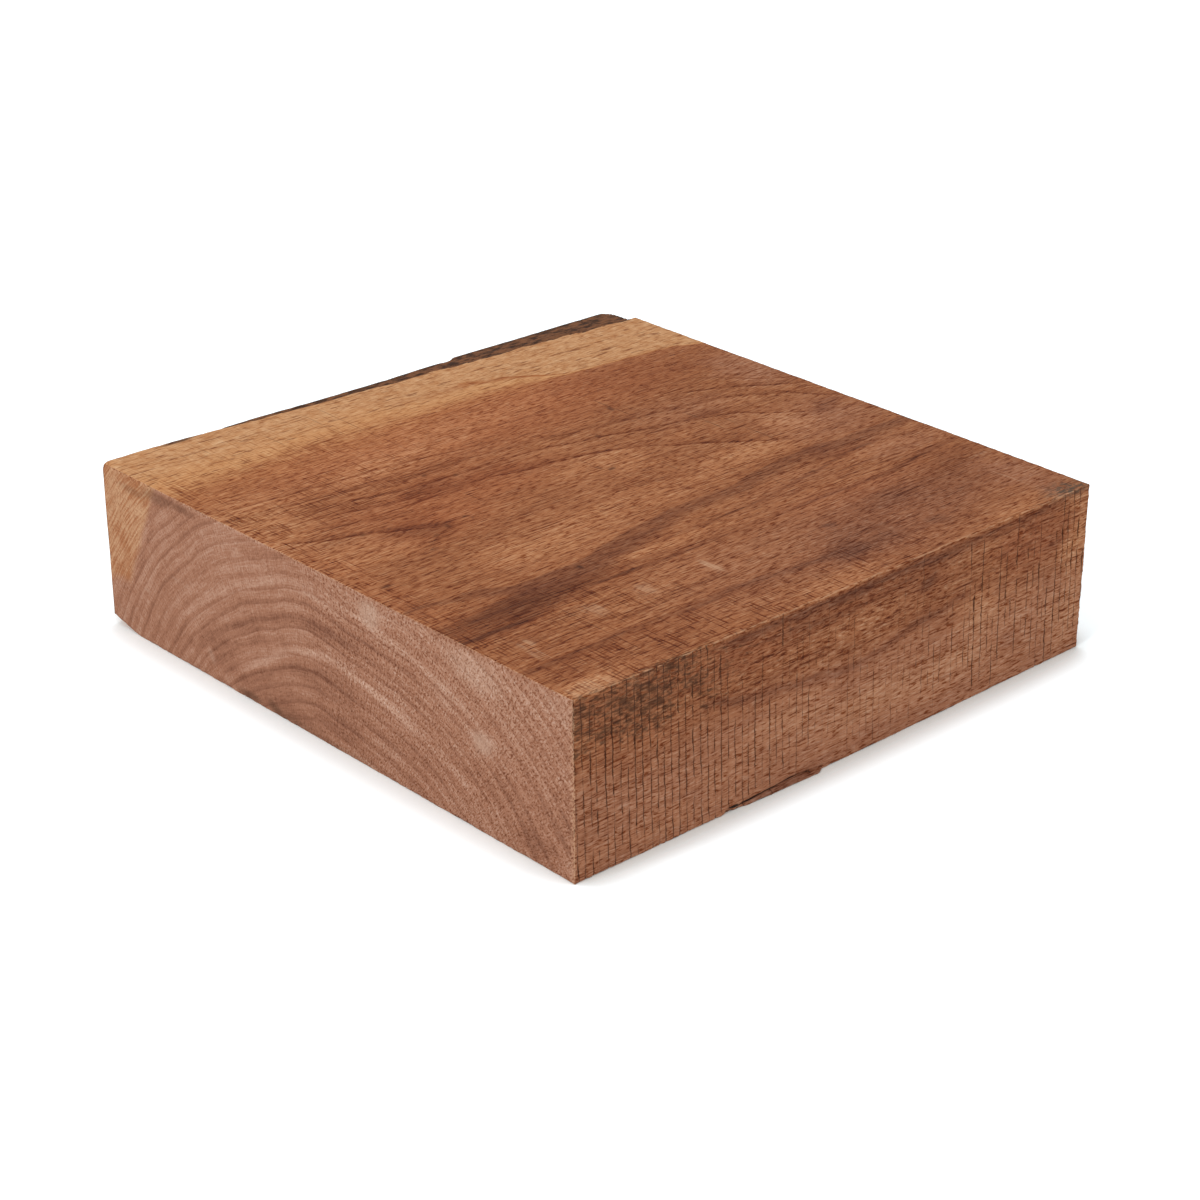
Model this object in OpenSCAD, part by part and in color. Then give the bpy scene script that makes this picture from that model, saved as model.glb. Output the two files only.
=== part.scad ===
// Rough-sawn blank for a lathe: a squarish slab of timber, sapwood along its back,
// with a strip of bark left on the back top corner.
// Left and right are -X and +X, front and back are -Y and +Y. The grain runs along X.
// The origin is at the middle of the bottom.

/* [Blank] */
// Length along the grain, measured at the back
blank_length = 205.5; // [150:0.5:320]
// Width across the grain, measured at the left end
blank_width = 209.6; // [150:0.1:320]
// Thickness
blank_height = 52.7; // [38:0.1:80]

/* [Out of square] */
// How far each end is set in at the front, which is the shorter side
front_set_in = 1.2; // [0:0.1:4]
// How far front and back are set in at the right end, which is the narrower one
right_set_in = 1.8; // [0:0.1:4]

/* [Bark] */
// Width of the bark on the top, where it is widest, at the right end
bark_width = 10; // [5:0.5:16]
// Distance from the left end to where the bark begins
bark_start = 30; // [10:1:90]
// Slope of the wood under the bark, in degrees below the top
bark_slope = 55; // [40:1:68]
// How far the bark's surface lies below the sawn top
bark_drop = 0.5; // [0.1:0.1:2]
// Distance from the bark's broken end to the right end of the blank
bark_end_gap = 2.8; // [1:0.1:10]
// Radius of the bark's broken end
bark_end_radius = 4; // [1:0.5:4.5]

/* [Saw marks] */
// Distance from one saw mark on the front to the next
mark_pitch = 2.45; // [1.5:0.05:5]
// Width of a saw mark
mark_width = 0.4; // [0.2:0.05:0.8]
// Depth of a saw mark
mark_depth = 0.35; // [0.1:0.05:1]
// Length of the front that carries deep saw marks, from its left corner
mark_run = 86; // [20:1:130]
// How high the saw marks reach above the bottom
mark_height = 33; // [10:1:36]
// How much shorter or longer than that a saw mark may be
mark_height_change = 4; // [0:0.5:8]

/* [Torn front edge] */
// Distance from the left end to the torn splinter on the bottom front edge
splinter_start = 57; // [20:1:90]
// Length of the splinter
splinter_length = 35; // [10:1:50]
// How far the splinter stands out of the front
splinter_reach = 1.9; // [0.5:0.1:4]
// Thickness of the splinter
splinter_height = 1; // [0.4:0.1:3]
// Length of the nick just left of the splinter
nick_length = 3.4; // [1:0.1:8]
// Height and depth of that nick
nick_size = 1; // [0.4:0.1:3]

/* [Worn corner] */
// Height of the worn back left bottom corner
worn_height = 3; // [1:0.1:8]
// How far the wear runs along both bottom edges
worn_run = 14; // [4:0.5:30]

/* [Hidden] */
$fn = 64;

heartwood = [0.56, 0.37, 0.26];
bark_brown = [0.29, 0.20, 0.15];

left = -blank_length / 2;
right = blank_length / 2;
front = -blank_width / 2;
back = blank_width / 2;
reach = 2 * (blank_length + blank_width + blank_height);

// The front leans back towards the right end
front_left = left + front_set_in;
front_length = blank_length - 2 * front_set_in;
front_angle = atan2(right_set_in, front_length);

// The splinter stands out past the front left corner, so half of that is taken up by the origin
splinter_tip = splinter_start + 0.9 * splinter_length;
overhang = max(0, splinter_reach * cos(front_angle) - splinter_tip * sin(front_angle));

// The line on the top where sapwood meets bark, from its thin end to the right end
bark_x = left + bark_start;
bark_y = back - right_set_in * bark_start / blank_length;
bark_run = right - bark_x;
bark_angle = atan2(back - right_set_in - bark_width - bark_y, bark_run);
bark_end_x = right - bark_end_gap;

// Slope of the worn corner, towards the middle of the blank
worn_slope = atan2(worn_height, worn_run * sin(45));

// Height of saw mark number i above the bottom, which wanders from one mark to the next
function mark_top(i) = mark_height + mark_height_change * sin(i * 137) * cos(i * 41);

// Plan outline of the sawn slab
module outline() {
    polygon([
        [left + front_set_in, front],
        [right - front_set_in, front + right_set_in],
        [right, back - right_set_in],
        [left, back]
    ]);
}

// Everything below the XY plane
module half_space() {
    translate([-reach, -reach, -reach])
        cube([2 * reach, 2 * reach, reach]);
}

// Everything outside the round of the log, above the sloping surface under the bark
module outside_log() {
    translate([bark_x, bark_y, blank_height])
        rotate([0, 0, bark_angle])
            rotate([180 - bark_slope, 0, 0])
                half_space();
}

// Plan outline of the part that still has its bark, with the broken end rounded
module bark_outline() {
    translate([bark_end_x - reach, -reach])
        square([reach - bark_end_radius, 2 * reach]);
    translate([bark_end_x - reach, -reach])
        square([reach, reach + back - right_set_in - bark_end_radius]);
    translate([bark_end_x - bark_end_radius, back - right_set_in - bark_end_radius])
        circle(r = bark_end_radius);
}

// Bark on the back top corner
module bark() {
    color(bark_brown)
        intersection() {
            linear_extrude(blank_height - bark_drop)
                intersection() {
                    outline();
                    bark_outline();
                }
            outside_log();
        }
}

// Corner worn off where the back, the left end and the bottom meet
module worn_corner() {
    translate([left, back, worn_height])
        rotate([0, 0, -45])
            rotate([0, worn_slope, 0])
                half_space();
}

// Grooves that the saw left across the front
module saw_marks() {
    for (i = [1 : floor(mark_run / mark_pitch)])
        translate([i * mark_pitch, -mark_depth, -mark_depth])
            cube([mark_width, 2 * mark_depth, mark_top(i) + mark_depth]);
}

// Nick torn out of the bottom front edge
module nick() {
    translate([splinter_start - nick_length, -nick_size, -nick_size])
        cube([nick_length, 2 * nick_size, 2 * nick_size]);
}

// Splinter torn loose along the bottom front edge, with its free end standing out
module splinter() {
    linear_extrude(splinter_height)
        polygon([
            [splinter_start, nick_size],
            [splinter_start, 0],
            [splinter_tip, -splinter_reach],
            [splinter_start + splinter_length, -splinter_reach / 2],
            [splinter_start + splinter_length, nick_size]
        ]);
}

// Places what is measured along the front from its left corner
module along_front() {
    translate([front_left, front, 0])
        rotate([0, 0, front_angle])
            children();
}

module blank() {
    translate([0, overhang / 2, 0]) {
        color(heartwood) {
            difference() {
                linear_extrude(blank_height)
                    outline();
                outside_log();
                worn_corner();
                along_front() {
                    saw_marks();
                    nick();
                }
            }
            along_front()
                splinter();
        }
        bark();
    }
}

blank();
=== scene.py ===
"""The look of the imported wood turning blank: one closed mesh, sawn, torn and worn, in bare walnut.

Sizes are in millimetres until the mesh is written. The wood is described in board coordinates:
u runs along the grain from the left end, v from the saw-marked front to the back, and z up from the bottom.
"""
import math

import bpy
import numpy as np
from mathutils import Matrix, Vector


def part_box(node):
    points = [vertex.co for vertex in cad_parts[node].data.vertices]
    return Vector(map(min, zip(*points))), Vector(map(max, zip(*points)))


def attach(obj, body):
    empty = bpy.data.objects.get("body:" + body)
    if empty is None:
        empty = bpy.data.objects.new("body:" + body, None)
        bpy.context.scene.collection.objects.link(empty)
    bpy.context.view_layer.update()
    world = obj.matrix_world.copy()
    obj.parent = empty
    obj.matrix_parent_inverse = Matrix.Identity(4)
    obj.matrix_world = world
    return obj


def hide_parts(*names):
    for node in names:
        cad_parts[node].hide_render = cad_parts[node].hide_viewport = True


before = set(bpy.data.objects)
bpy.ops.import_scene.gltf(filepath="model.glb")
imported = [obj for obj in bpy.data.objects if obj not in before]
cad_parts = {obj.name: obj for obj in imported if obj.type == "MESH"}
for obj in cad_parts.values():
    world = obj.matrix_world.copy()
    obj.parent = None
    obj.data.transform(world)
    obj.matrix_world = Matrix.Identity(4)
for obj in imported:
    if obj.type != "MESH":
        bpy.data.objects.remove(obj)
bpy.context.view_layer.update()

MM = 0.001
PIECE = "blank_wood"

# ---------------------------------------------------------------- the blank, as part.scad has it
FRONT_SET_IN = 1.2
RIGHT_SET_IN = 1.8
SPLINTER_START = 57.0
SPLINTER_LENGTH = 35.0
SPLINTER_REACH = 1.9
NICK_LENGTH = 3.4
NICK_SIZE = 1.0
BARK_WIDTH = 10.0
BARK_START = 30.0
BARK_SLOPE = math.radians(55)
BARK_END_GAP = 2.8
BARK_END_RADIUS = 4.0
WORN_HEIGHT = 3.0
WORN_RUN = 14.0
MARK_DEPTH = 0.35

# Only here: the saw marks run on over the whole front and lean a little, and a corner is knocked round
MARK_PITCH = 2.55
MARK_HALF_WIDTH = 0.2
MARK_LEAN = 0.035
KNOCKED_RADIUS = 2.6

low, high = (np.array(corner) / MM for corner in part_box("blank"))
LEFT, RIGHT, BACK, HEIGHT = low[0], high[0], high[1], high[2]
LENGTH = RIGHT - LEFT - 2 * FRONT_SET_IN
FRONT_ANGLE = math.atan2(RIGHT_SET_IN, LENGTH)
SPLINTER_TIP = SPLINTER_START + 0.9 * SPLINTER_LENGTH
NICK_MIDDLE = SPLINTER_START - NICK_LENGTH / 2
OVERHANG = SPLINTER_REACH * math.cos(FRONT_ANGLE) - SPLINTER_TIP * math.sin(FRONT_ANGLE)
FRONT = low[1] + OVERHANG
WIDTH = BACK - FRONT

CORNERS = np.array([
    [[LEFT + FRONT_SET_IN, FRONT], [LEFT, BACK]],
    [[RIGHT - FRONT_SET_IN, FRONT + RIGHT_SET_IN], [RIGHT, BACK - RIGHT_SET_IN]],
])


def plan(u, v):
    """The place in the frame of a point of the board's plan."""
    s, t = (u / LENGTH)[:, None], (v / WIDTH)[:, None]
    near = CORNERS[0, 0] * (1 - s) + CORNERS[1, 0] * s
    far = CORNERS[0, 1] * (1 - s) + CORNERS[1, 1] * s
    return near * (1 - t) + far * t


# ---------------------------------------------------------------- smooth random fields
def ramp(start, end, x):
    """Rises smoothly from 0 at start to 1 at end. With end below start it falls."""
    t = np.clip((x - start) / (end - start), 0, 1)
    return t * t * (3 - 2 * t)


def bump(x, centre, half_width):
    """1 at centre, falling smoothly to 0 at half_width on either side."""
    return 1 - ramp(0, half_width, np.abs(x - centre))


def lattice(ix, iy, iz, seed):
    """A fixed random number from -1 to 1 for each point of a whole-number lattice."""
    n = (ix * 73856093) ^ (iy * 19349663) ^ (iz * 83492791) ^ (seed * 2654435761)
    n = (n ^ (n >> 13)) & 0xFFFFFFFF
    n = (n * 1274126177) & 0xFFFFFFFF
    n = (n ^ (n >> 16)) & 0xFFFFFF
    return n / 0x7FFFFF - 1


def noise(x, y=0.0, z=0.0, seed=0):
    """Smooth noise from -1 to 1 with features about one unit across."""
    x, y, z = np.broadcast_arrays(x, y, z)
    cell = [np.floor(c).astype(np.int64) for c in (x, y, z)]
    frac = [c - i for c, i in zip((x, y, z), cell)]
    fade = [f * f * (3 - 2 * f) for f in frac]
    total = np.zeros(x.shape)
    for dx in (0, 1):
        for dy in (0, 1):
            for dz in (0, 1):
                weight = np.ones(x.shape)
                for d, f in zip((dx, dy, dz), fade):
                    weight = weight * (f if d else 1 - f)
                total += weight * lattice(cell[0] + dx, cell[1] + dy, cell[2] + dz, seed)
    return total


def layered(x, y=0.0, z=0.0, seed=0, octaves=3):
    """Noise with finer and finer layers added."""
    total, size = 0.0, 1.0
    for k in range(octaves):
        total = total + size * noise(x * 2**k, y * 2**k, z * 2**k, seed + 17 * k)
        size *= 0.5
    return total


# ---------------------------------------------------------------- the tree the blank was cut from
# The pith at the left end: how far behind the front and below the bottom it lies. For each millimetre to
# the right it comes forward and sinks by this share of one
PITH_BEHIND = 104
PITH_BELOW = 53
PITH_FORWARD = 0.145
PITH_SINK = 0.045


def from_pith(u, v):
    """How far a point is to the back of the pith, which drifts towards the front along the grain."""
    return v - (PITH_BEHIND - PITH_FORWARD * u)


def pith_height(u):
    """Height of the pith, which lies below the bottom and sinks away to the right."""
    return -PITH_BELOW - PITH_SINK * u


def squeezed(across):
    """The distance from the pith as it would be in a round tree: this one grew flat towards the front."""
    flat = 0.66 * -across + 0.16 * (np.hypot(-across - 47, 8) - across - 47)
    return np.where(across > 0, 1.04 * across, -np.maximum(flat, 0))


def ring_radius(u, v, z):
    """Which growth ring a point lies in, as a radius in mm: tighter to the back, wider to the front."""
    across = from_pith(u, v)
    radius = np.hypot(squeezed(across), z - pith_height(u))
    radius = radius - 2.6 * np.exp(-np.hypot(across - 3, 2.5) / 20)
    radius = radius + 6 * np.clip(1 - ((u - 97) / 95) ** 2, 0, 1) * ramp(70, 104, -across)
    radius = radius + 0.9 * noise(u / 60, v / 22, z / 22, 3) + 0.35 * noise(u / 26, v / 7, z / 7, 5)
    return radius


def around_pith(u, v, z):
    """How far round the pith a point lies, in mm on a ring of 100 mm."""
    return 100 * np.arctan2(squeezed(from_pith(u, v)), z - pith_height(u))


# Growth rings from the pith outwards: the radius at which each ends, and how plainly its end shows
RINGS = [
    (46, 0.5), (50, 0.7), (55, 0.6), (59.8, 0.9), (65.1, 0.8), (70.2, 1.0), (74.4, 0.7), (79, 0.3),
    (82.6, 1.0), (85.1, 0.6), (90.4, 0.9), (94.4, 1.0), (98.5, 0.4), (103, 0.6), (108.6, 1.0), (112, 0.3),
    (115, 1.0), (119, 0.85), (122, 0.75), (126.5, 0.8), (129, 0.6), (132.5, 0.5), (136, 0.3), (140, 0.6),
    (144, 0.35), (148, 0.6), (153, 0.3), (158, 0.5), (164, 0.4), (170, 0.5),
]
RING_ENDS = [radius for radius, _ in RINGS]
RING_STRENGTHS = [strength for _, strength in RINGS]


def through(points, x):
    """The second numbers of points at x, joined by straight lines."""
    return np.interp(x, [p[0] for p in points], [p[1] for p in points])


# The figure on the top. The rings make long arches that point to the right, and their tips lie on this
# line: (u, v). The second list is how far out from the pith the top is along it: (u, radius)
TIP_LINE = [(0, 106), (45, 103.4), (100, 96), (140, 88), (170, 77.5), (203, 68)]
TIP_RADIUS = [(0, 105.5), (45, 108.6), (170, 115), (203, 117)]
# Where the rings behind that line and in front of it run: radius, then (u, v) from left to right
BACK_ARMS = [
    (108.6, [(0, 127), (8, 122), (13, 119), (18, 116.5), (23, 114.8), (32, 111), (36, 108.5), (40, 106),
     (45, 103.4)]),
    (115, [(0, 136), (48, 126), (77, 123.3), (89, 120.4), (102, 118), (110, 116.3), (122, 112.6),
     (131, 108), (136, 104.2), (140, 100.8), (150, 94.2), (158, 87), (167, 81.5), (170, 77.5)]),
    (119, [(0, 143), (30, 137), (49, 132.5), (71, 131.2), (100, 130), (110, 127.5), (120, 125),
     (133, 121.3), (145, 118.2), (158, 114.5), (167, 112), (175, 104), (185, 96.7), (203, 87)]),
    (122, [(0, 147), (50, 141), (100, 136), (143, 128.9), (158, 125.8), (171, 123.3), (178, 121),
     (187, 116), (191, 114), (196, 106.7), (203, 99)]),
    (126.5, [(0, 154), (33, 151), (53, 150), (69, 148.3), (83, 145.8), (92, 143.8), (116, 140.5),
     (150, 138), (162, 135.8), (171, 132.5), (179, 128.8), (188, 123.3), (192, 120.8), (203, 115)]),
    (129, [(0, 160), (60, 157), (120, 152), (165, 147), (179, 141.7), (184, 136.7), (192, 128), (198, 124),
     (203, 121)]),
]
FRONT_ARMS = [
    (108.6, [(0, 82), (15, 86.9), (22, 89.4), (33, 95.3), (40, 101), (45, 103.4)]),
    (115, [(0, 74), (50, 70), (100, 75), (140, 77.5), (170, 77.5)]),
    (119, [(0, 52), (40, 50), (78, 49.9), (116, 55.8), (150, 61.7), (163, 64.5), (203, 66)]),
    (122, [(0, 43.2), (25, 47.4), (67, 47.2), (100, 46.6), (133, 44.1), (166, 47.4), (191, 52.5),
     (203, 55)]),
    (126.5, [(0, 36), (60, 38), (120, 35), (203, 42)]),
]


def arm_place(points, u, tip, way):
    """How far from the line of tips an arm runs at u: nothing past the arm's own tip."""
    return np.where(u > points[-1][0], 0.0, (through(points, u) - tip) * way)


def top_radius(u, v):
    """Which growth ring a point of the top lies in, with the rings running along the arms above."""
    tip, outer = through(TIP_LINE, u), ring_radius(u, v, HEIGHT)
    total = through(TIP_RADIUS, u)
    for arms, way, rim in ((BACK_ARMS, 1, WIDTH), (FRONT_ARMS, -1, 0.0)):
        offset = (v - tip) * way
        last_place, last_radius = np.zeros(len(u)), through(TIP_RADIUS, u)
        rim_radius = ring_radius(u, np.full(len(u), rim), HEIGHT)
        lines = [(arm_place(points, u, tip, way), radius) for radius, points in arms]
        lines.append(((rim - tip) * way, rim_radius))
        for place, radius in lines:
            place = np.maximum(place, last_place + 0.01)
            radius = np.maximum(radius, last_radius)
            total += (radius - last_radius) * np.clip((offset - last_place) / (place - last_place), 0, 1)
            last_place, last_radius = place, radius
    at_end = ramp(6, 0, u)
    return total * (1 - at_end) + outer * at_end + 0.25 * noise(u / 14, v / 5, 0, 7)


# Heartwood ends at the first line of the top and pale sapwood starts at the second: (u, v). Where they
# meet, a darker rim shows: (u, how plainly)
HEART_EDGE = [
    (0, 172), (20, 174), (41, 176), (60, 175), (87, 175.5), (116, 176), (138, 174.5), (145, 173.5),
    (165, 171.8), (193, 169.5), (197, 167.4), (203, 164.8),
]
PALE_EDGE = [
    (0, 196), (40, 196), (70, 199), (83, 196.5), (90, 192.5), (97, 189.2), (120, 188.3), (127, 186.8),
    (133, 184.6), (141, 179.6), (145, 176.4), (150, 174.8), (165, 173), (193, 170.8), (197, 168.4),
    (203, 166),
]
RIM_STRENGTH = [
    (0, 0), (80, 0), (95, 0.35), (110, 0.4), (120, 0.9), (130, 1.2), (146, 1.2), (152, 0.6), (203, 0.4),
]


def sap_depth(u, v, z):
    """How far a point lies past the end of the heartwood, where 1 is the start of the pale sapwood."""
    heart, pale = through(HEART_EDGE, u), through(PALE_EDGE, u)
    slant = 0.5 * (HEIGHT - z)
    wander = 0.5 * noise(u / 5, z / 9, 0, 11)
    return (v - heart - slant - wander) / np.maximum(pale - heart, 1.0)


# The dark heart streak on the top: its sharp back edge, how wide it is, and how dark: (u, amount)
STREAK_EDGE = [
    (0, 67.6), (4, 68.5), (10, 67.5), (15, 66), (20, 67), (26, 65.5), (33, 61.5), (55, 61.5), (62, 62.5),
    (66, 65), (80, 68), (90, 69.5), (100, 71), (125, 71), (130, 72.5), (135, 74), (150, 76.5), (161, 76.5),
    (165, 77.5), (172, 75.5), (203, 75.5),
]
STREAK_WIDTH = [
    (0, 2.4), (14, 2.4), (24, 7), (33, 9), (66, 11), (80, 10), (100, 7.5), (130, 7.5), (158, 9), (163, 11),
    (168, 10), (176, 7), (203, 6),
]
STREAK_STRENGTH = [
    (0, 0.6), (14, 0.6), (26, 0.7), (40, 0.95), (70, 0.95), (90, 0.85), (105, 0.8), (130, 0.75), (145, 0.7),
    (158, 0.7), (163, 1.0), (168, 0.95), (174, 0.75), (203, 0.75),
]


# ---------------------------------------------------------------- edges and faces of the shell
TOP, BOTTOM, FRONT_FACE, BACK_FACE, LEFT_END, RIGHT_END = range(6)


def spread(length, step, near_ends=(0.45, 1.1, 2.0)):
    """Places along a side: closer together near both ends, then about step apart."""
    inner = length - 2 * near_ends[-1]
    count = max(2, round(inner / step))
    middle = near_ends[-1] + inner * np.arange(1, count) / count
    return np.concatenate([near_ends, middle, length - np.array(near_ends[::-1])])


def merged(*parts):
    """The places of several lists in order, leaving out any that nearly repeat."""
    places = np.sort(np.concatenate(parts))
    return places[np.concatenate([[True], np.diff(places) > 0.09])]


# Saw marks across the front: how deep they are at u, and the ones that stand out, each with its place,
# depth, and lowest and highest end
MARK_ZONES = [(0, 1.15), (46, 1.1), (54, 0.8), (84, 0.6), (94, 0.35), (140, 0.45), (152, 0.85), (203, 1.1)]
STRONG_MARKS = [
    (8.0, 1.1, -3, 48), (64.6, 1.25, 4, 33), (70.0, 1.45, -3, 29), (153.3, 1.2, 2, 37),
    (167.3, 1.2, 15, 41), (186.0, 0.9, -3, 28), (192.7, 1.3, 12, 53),
]
rng = np.random.default_rng(8)
marks = []
for i in range(-1, int(LENGTH / MARK_PITCH) + 2):
    place = (i + 0.4) * MARK_PITCH + rng.normal(0, 0.11)
    strength = np.interp(place, *zip(*MARK_ZONES)) * rng.uniform(0.65, 1.2)
    bottom_end = rng.uniform(-5, 1) if place < 60 else rng.uniform(-6, 16)
    top_end = HEIGHT + 6 if place < 50 else rng.uniform(22, 60)
    strong = [m for m in STRONG_MARKS if abs(m[0] - place) < MARK_PITCH / 2]
    marks.append(strong[0] if strong else (place, strength, bottom_end, top_end))

mark_places = np.array([m[0] for m in marks])

# Scratches across the top: place, how dark their painted shade is (below 0 they are pale and worn), and where
# along v each starts and ends
SCRATCHES = [
    (12.0, -0.5, 21, 34), (32.6, 0.6, 18, 48), (38.8, 0.5, 122, 133), (64.0, 0.7, 105, 120),
    (72.5, 0.5, 158, 205), (96.7, 0.7, 107, 120), (105.0, 0.6, 102, 122), (122.0, 0.5, 88, 98),
    (131.2, 0.5, 90, 104), (137.0, 0.5, 42, 92), (140.6, 1.0, 126, 151), (154.6, 0.8, 99, 123),
    (160.4, 0.8, 88, 112), (189.2, -0.7, 12, 27), (65.8, 0.6, 176, 205), (47.5, 0.5, 178, 200),
    (27.5, 0.5, 176, 206),
]
scratch_grid = (np.arange(-1, int(LENGTH / MARK_PITCH) + 2) + 0.5) * MARK_PITCH
for scratch in SCRATCHES:
    scratch_grid[np.abs(scratch_grid - scratch[0]).argmin()] = scratch[0]


def straightened(u, z):
    """Where along the front a point would lie if the saw marks did not wander."""
    jitter = 0.18 * noise(z / 7, u / 2.2, 0, 21) + 0.09 * noise(z / 0.9, u / 2.2, 0, 25)
    return u - jitter + MARK_LEAN * (z - 20)


def mark_strength(u, z):
    """How strong the saw mark nearest to a point of the front is at that height."""
    nearest = np.abs(straightened(u, z)[:, None] - mark_places).argmin(1)
    strength, start, end = np.array(marks)[nearest, 1:].T
    along = ramp(start - 2, start + 2, z) * ramp(end + 3, end - 3, z)
    broken = 0.9 + 0.8 * noise(z / 3.2, nearest * 7.3, 0, 22) + 0.5 * noise(z / 1.1, nearest, 0, 26)
    return strength * along * np.clip(broken, 0.05, 1.35)


def saw_marks(u, z):
    """Depth of the saw marks at a point of the front, with MARK_DEPTH as 1."""
    far = np.abs(straightened(u, z)[:, None] - mark_places).min(1)
    return mark_strength(u, z) * np.exp(-((far / MARK_HALF_WIDTH) ** 2))


def wandered(u, v):
    """Where along the top a point would lie if the scratches across it did not wander."""
    return u - 0.35 * noise(v / 9, u / 15, 0, 23)


def scratch_strength(u, v):
    """How strong the scratch nearest to a point of the top is there, below 0 where it is pale."""
    nearest = scratch_grid[np.abs(wandered(u, v)[:, None] - scratch_grid).argmin(1)]
    total = np.zeros(len(u))
    for place, strength, start, end in SCRATCHES:
        along = ramp(start - 2, start + 3, v) * ramp(end + 2, end - 3, v)
        total += np.where(nearest == place, strength * along, 0)
    return total * np.clip(0.8 + 0.7 * noise(v / 4, nearest, 0, 24), 0.2, 1.3)


# Where the front's grid has its columns: one for each millimetre, and four across each saw mark
COLUMNS = merged(spread(LENGTH, 1.0), *[mark_places + d for d in (-0.42, -0.14, 0.14, 0.42)])
COLUMNS = COLUMNS[(COLUMNS > 0.4) & (COLUMNS < LENGTH - 0.4)]


class Shell:
    """The surface of the board as one closed mesh of grids, joined along shared edges."""

    def __init__(self):
        self.points, self.flags, self.polygons, self.sides = [], [], [], []
        self.count = 0
        self.corner = {}
        self.edges = {}

    def add(self, u, v, z, *sides):
        """Adds points that lie on the given sides, and gives their numbers."""
        u, v, z = (np.ravel(c).astype(float) for c in np.broadcast_arrays(u, v, z))
        flag = np.zeros((len(u), 6), bool)
        flag[:, list(sides)] = True
        self.points.append(np.stack([u, v, z], 1))
        self.flags.append(flag)
        self.count += len(u)
        return np.arange(self.count - len(u), self.count)

    def add_corner(self, key, u, v, z, *sides):
        """Adds a corner, which is then known by its key."""
        self.corner[key] = self.add(u, v, z, *sides)

    def add_edge(self, first, last, u, v, z, *sides):
        """Adds the points between two corners, and keeps the whole edge in both directions."""
        line = np.concatenate([self.corner[first], self.add(u, v, z, *sides), self.corner[last]])
        self.edges[first + last] = line
        self.edges[last + first] = line[::-1]

    def face(self, side, a, b, put, corners):
        """A grid with rows along a and b, sewn to the edges round it. Corners go round anticlockwise."""
        index = self.add(*put(*np.meshgrid(a, b, indexing="ij")), side).reshape(len(a), len(b))
        quads = np.stack([index[:-1, :-1], index[1:, :-1], index[1:, 1:], index[:-1, 1:]], -1).reshape(-1, 4)
        self.polygons += quads.tolist()
        self.sides += [side] * len(quads)
        rims = (index[:, 0], index[-1, :], index[::-1, -1], index[0, ::-1])
        for k, inner in enumerate(rims):
            outer = self.edges[corners[k] + corners[(k + 1) % 4]]
            self.sew(side, np.concatenate(self.points), outer, inner)

    def sew(self, side, board, outer, inner):
        """A strip of triangles between the edge of a face and the nearest line of its grid."""
        start, end = board[outer[0]], board[outer[-1]]
        way = (end - start) / np.linalg.norm(end - start)
        far_out, far_in = (board[outer] - start) @ way, (board[inner] - start) @ way
        i = j = 0
        while i < len(outer) - 1 or j < len(inner) - 1:
            next_out = far_out[i + 1] if i < len(outer) - 1 else np.inf
            next_in = far_in[j + 1] if j < len(inner) - 1 else np.inf
            if next_out <= next_in:
                self.polygons.append([outer[i], outer[i + 1], inner[j]])
                i += 1
            else:
                self.polygons.append([outer[i], inner[j + 1], inner[j]])
                j += 1
            self.sides.append(side)


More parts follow.
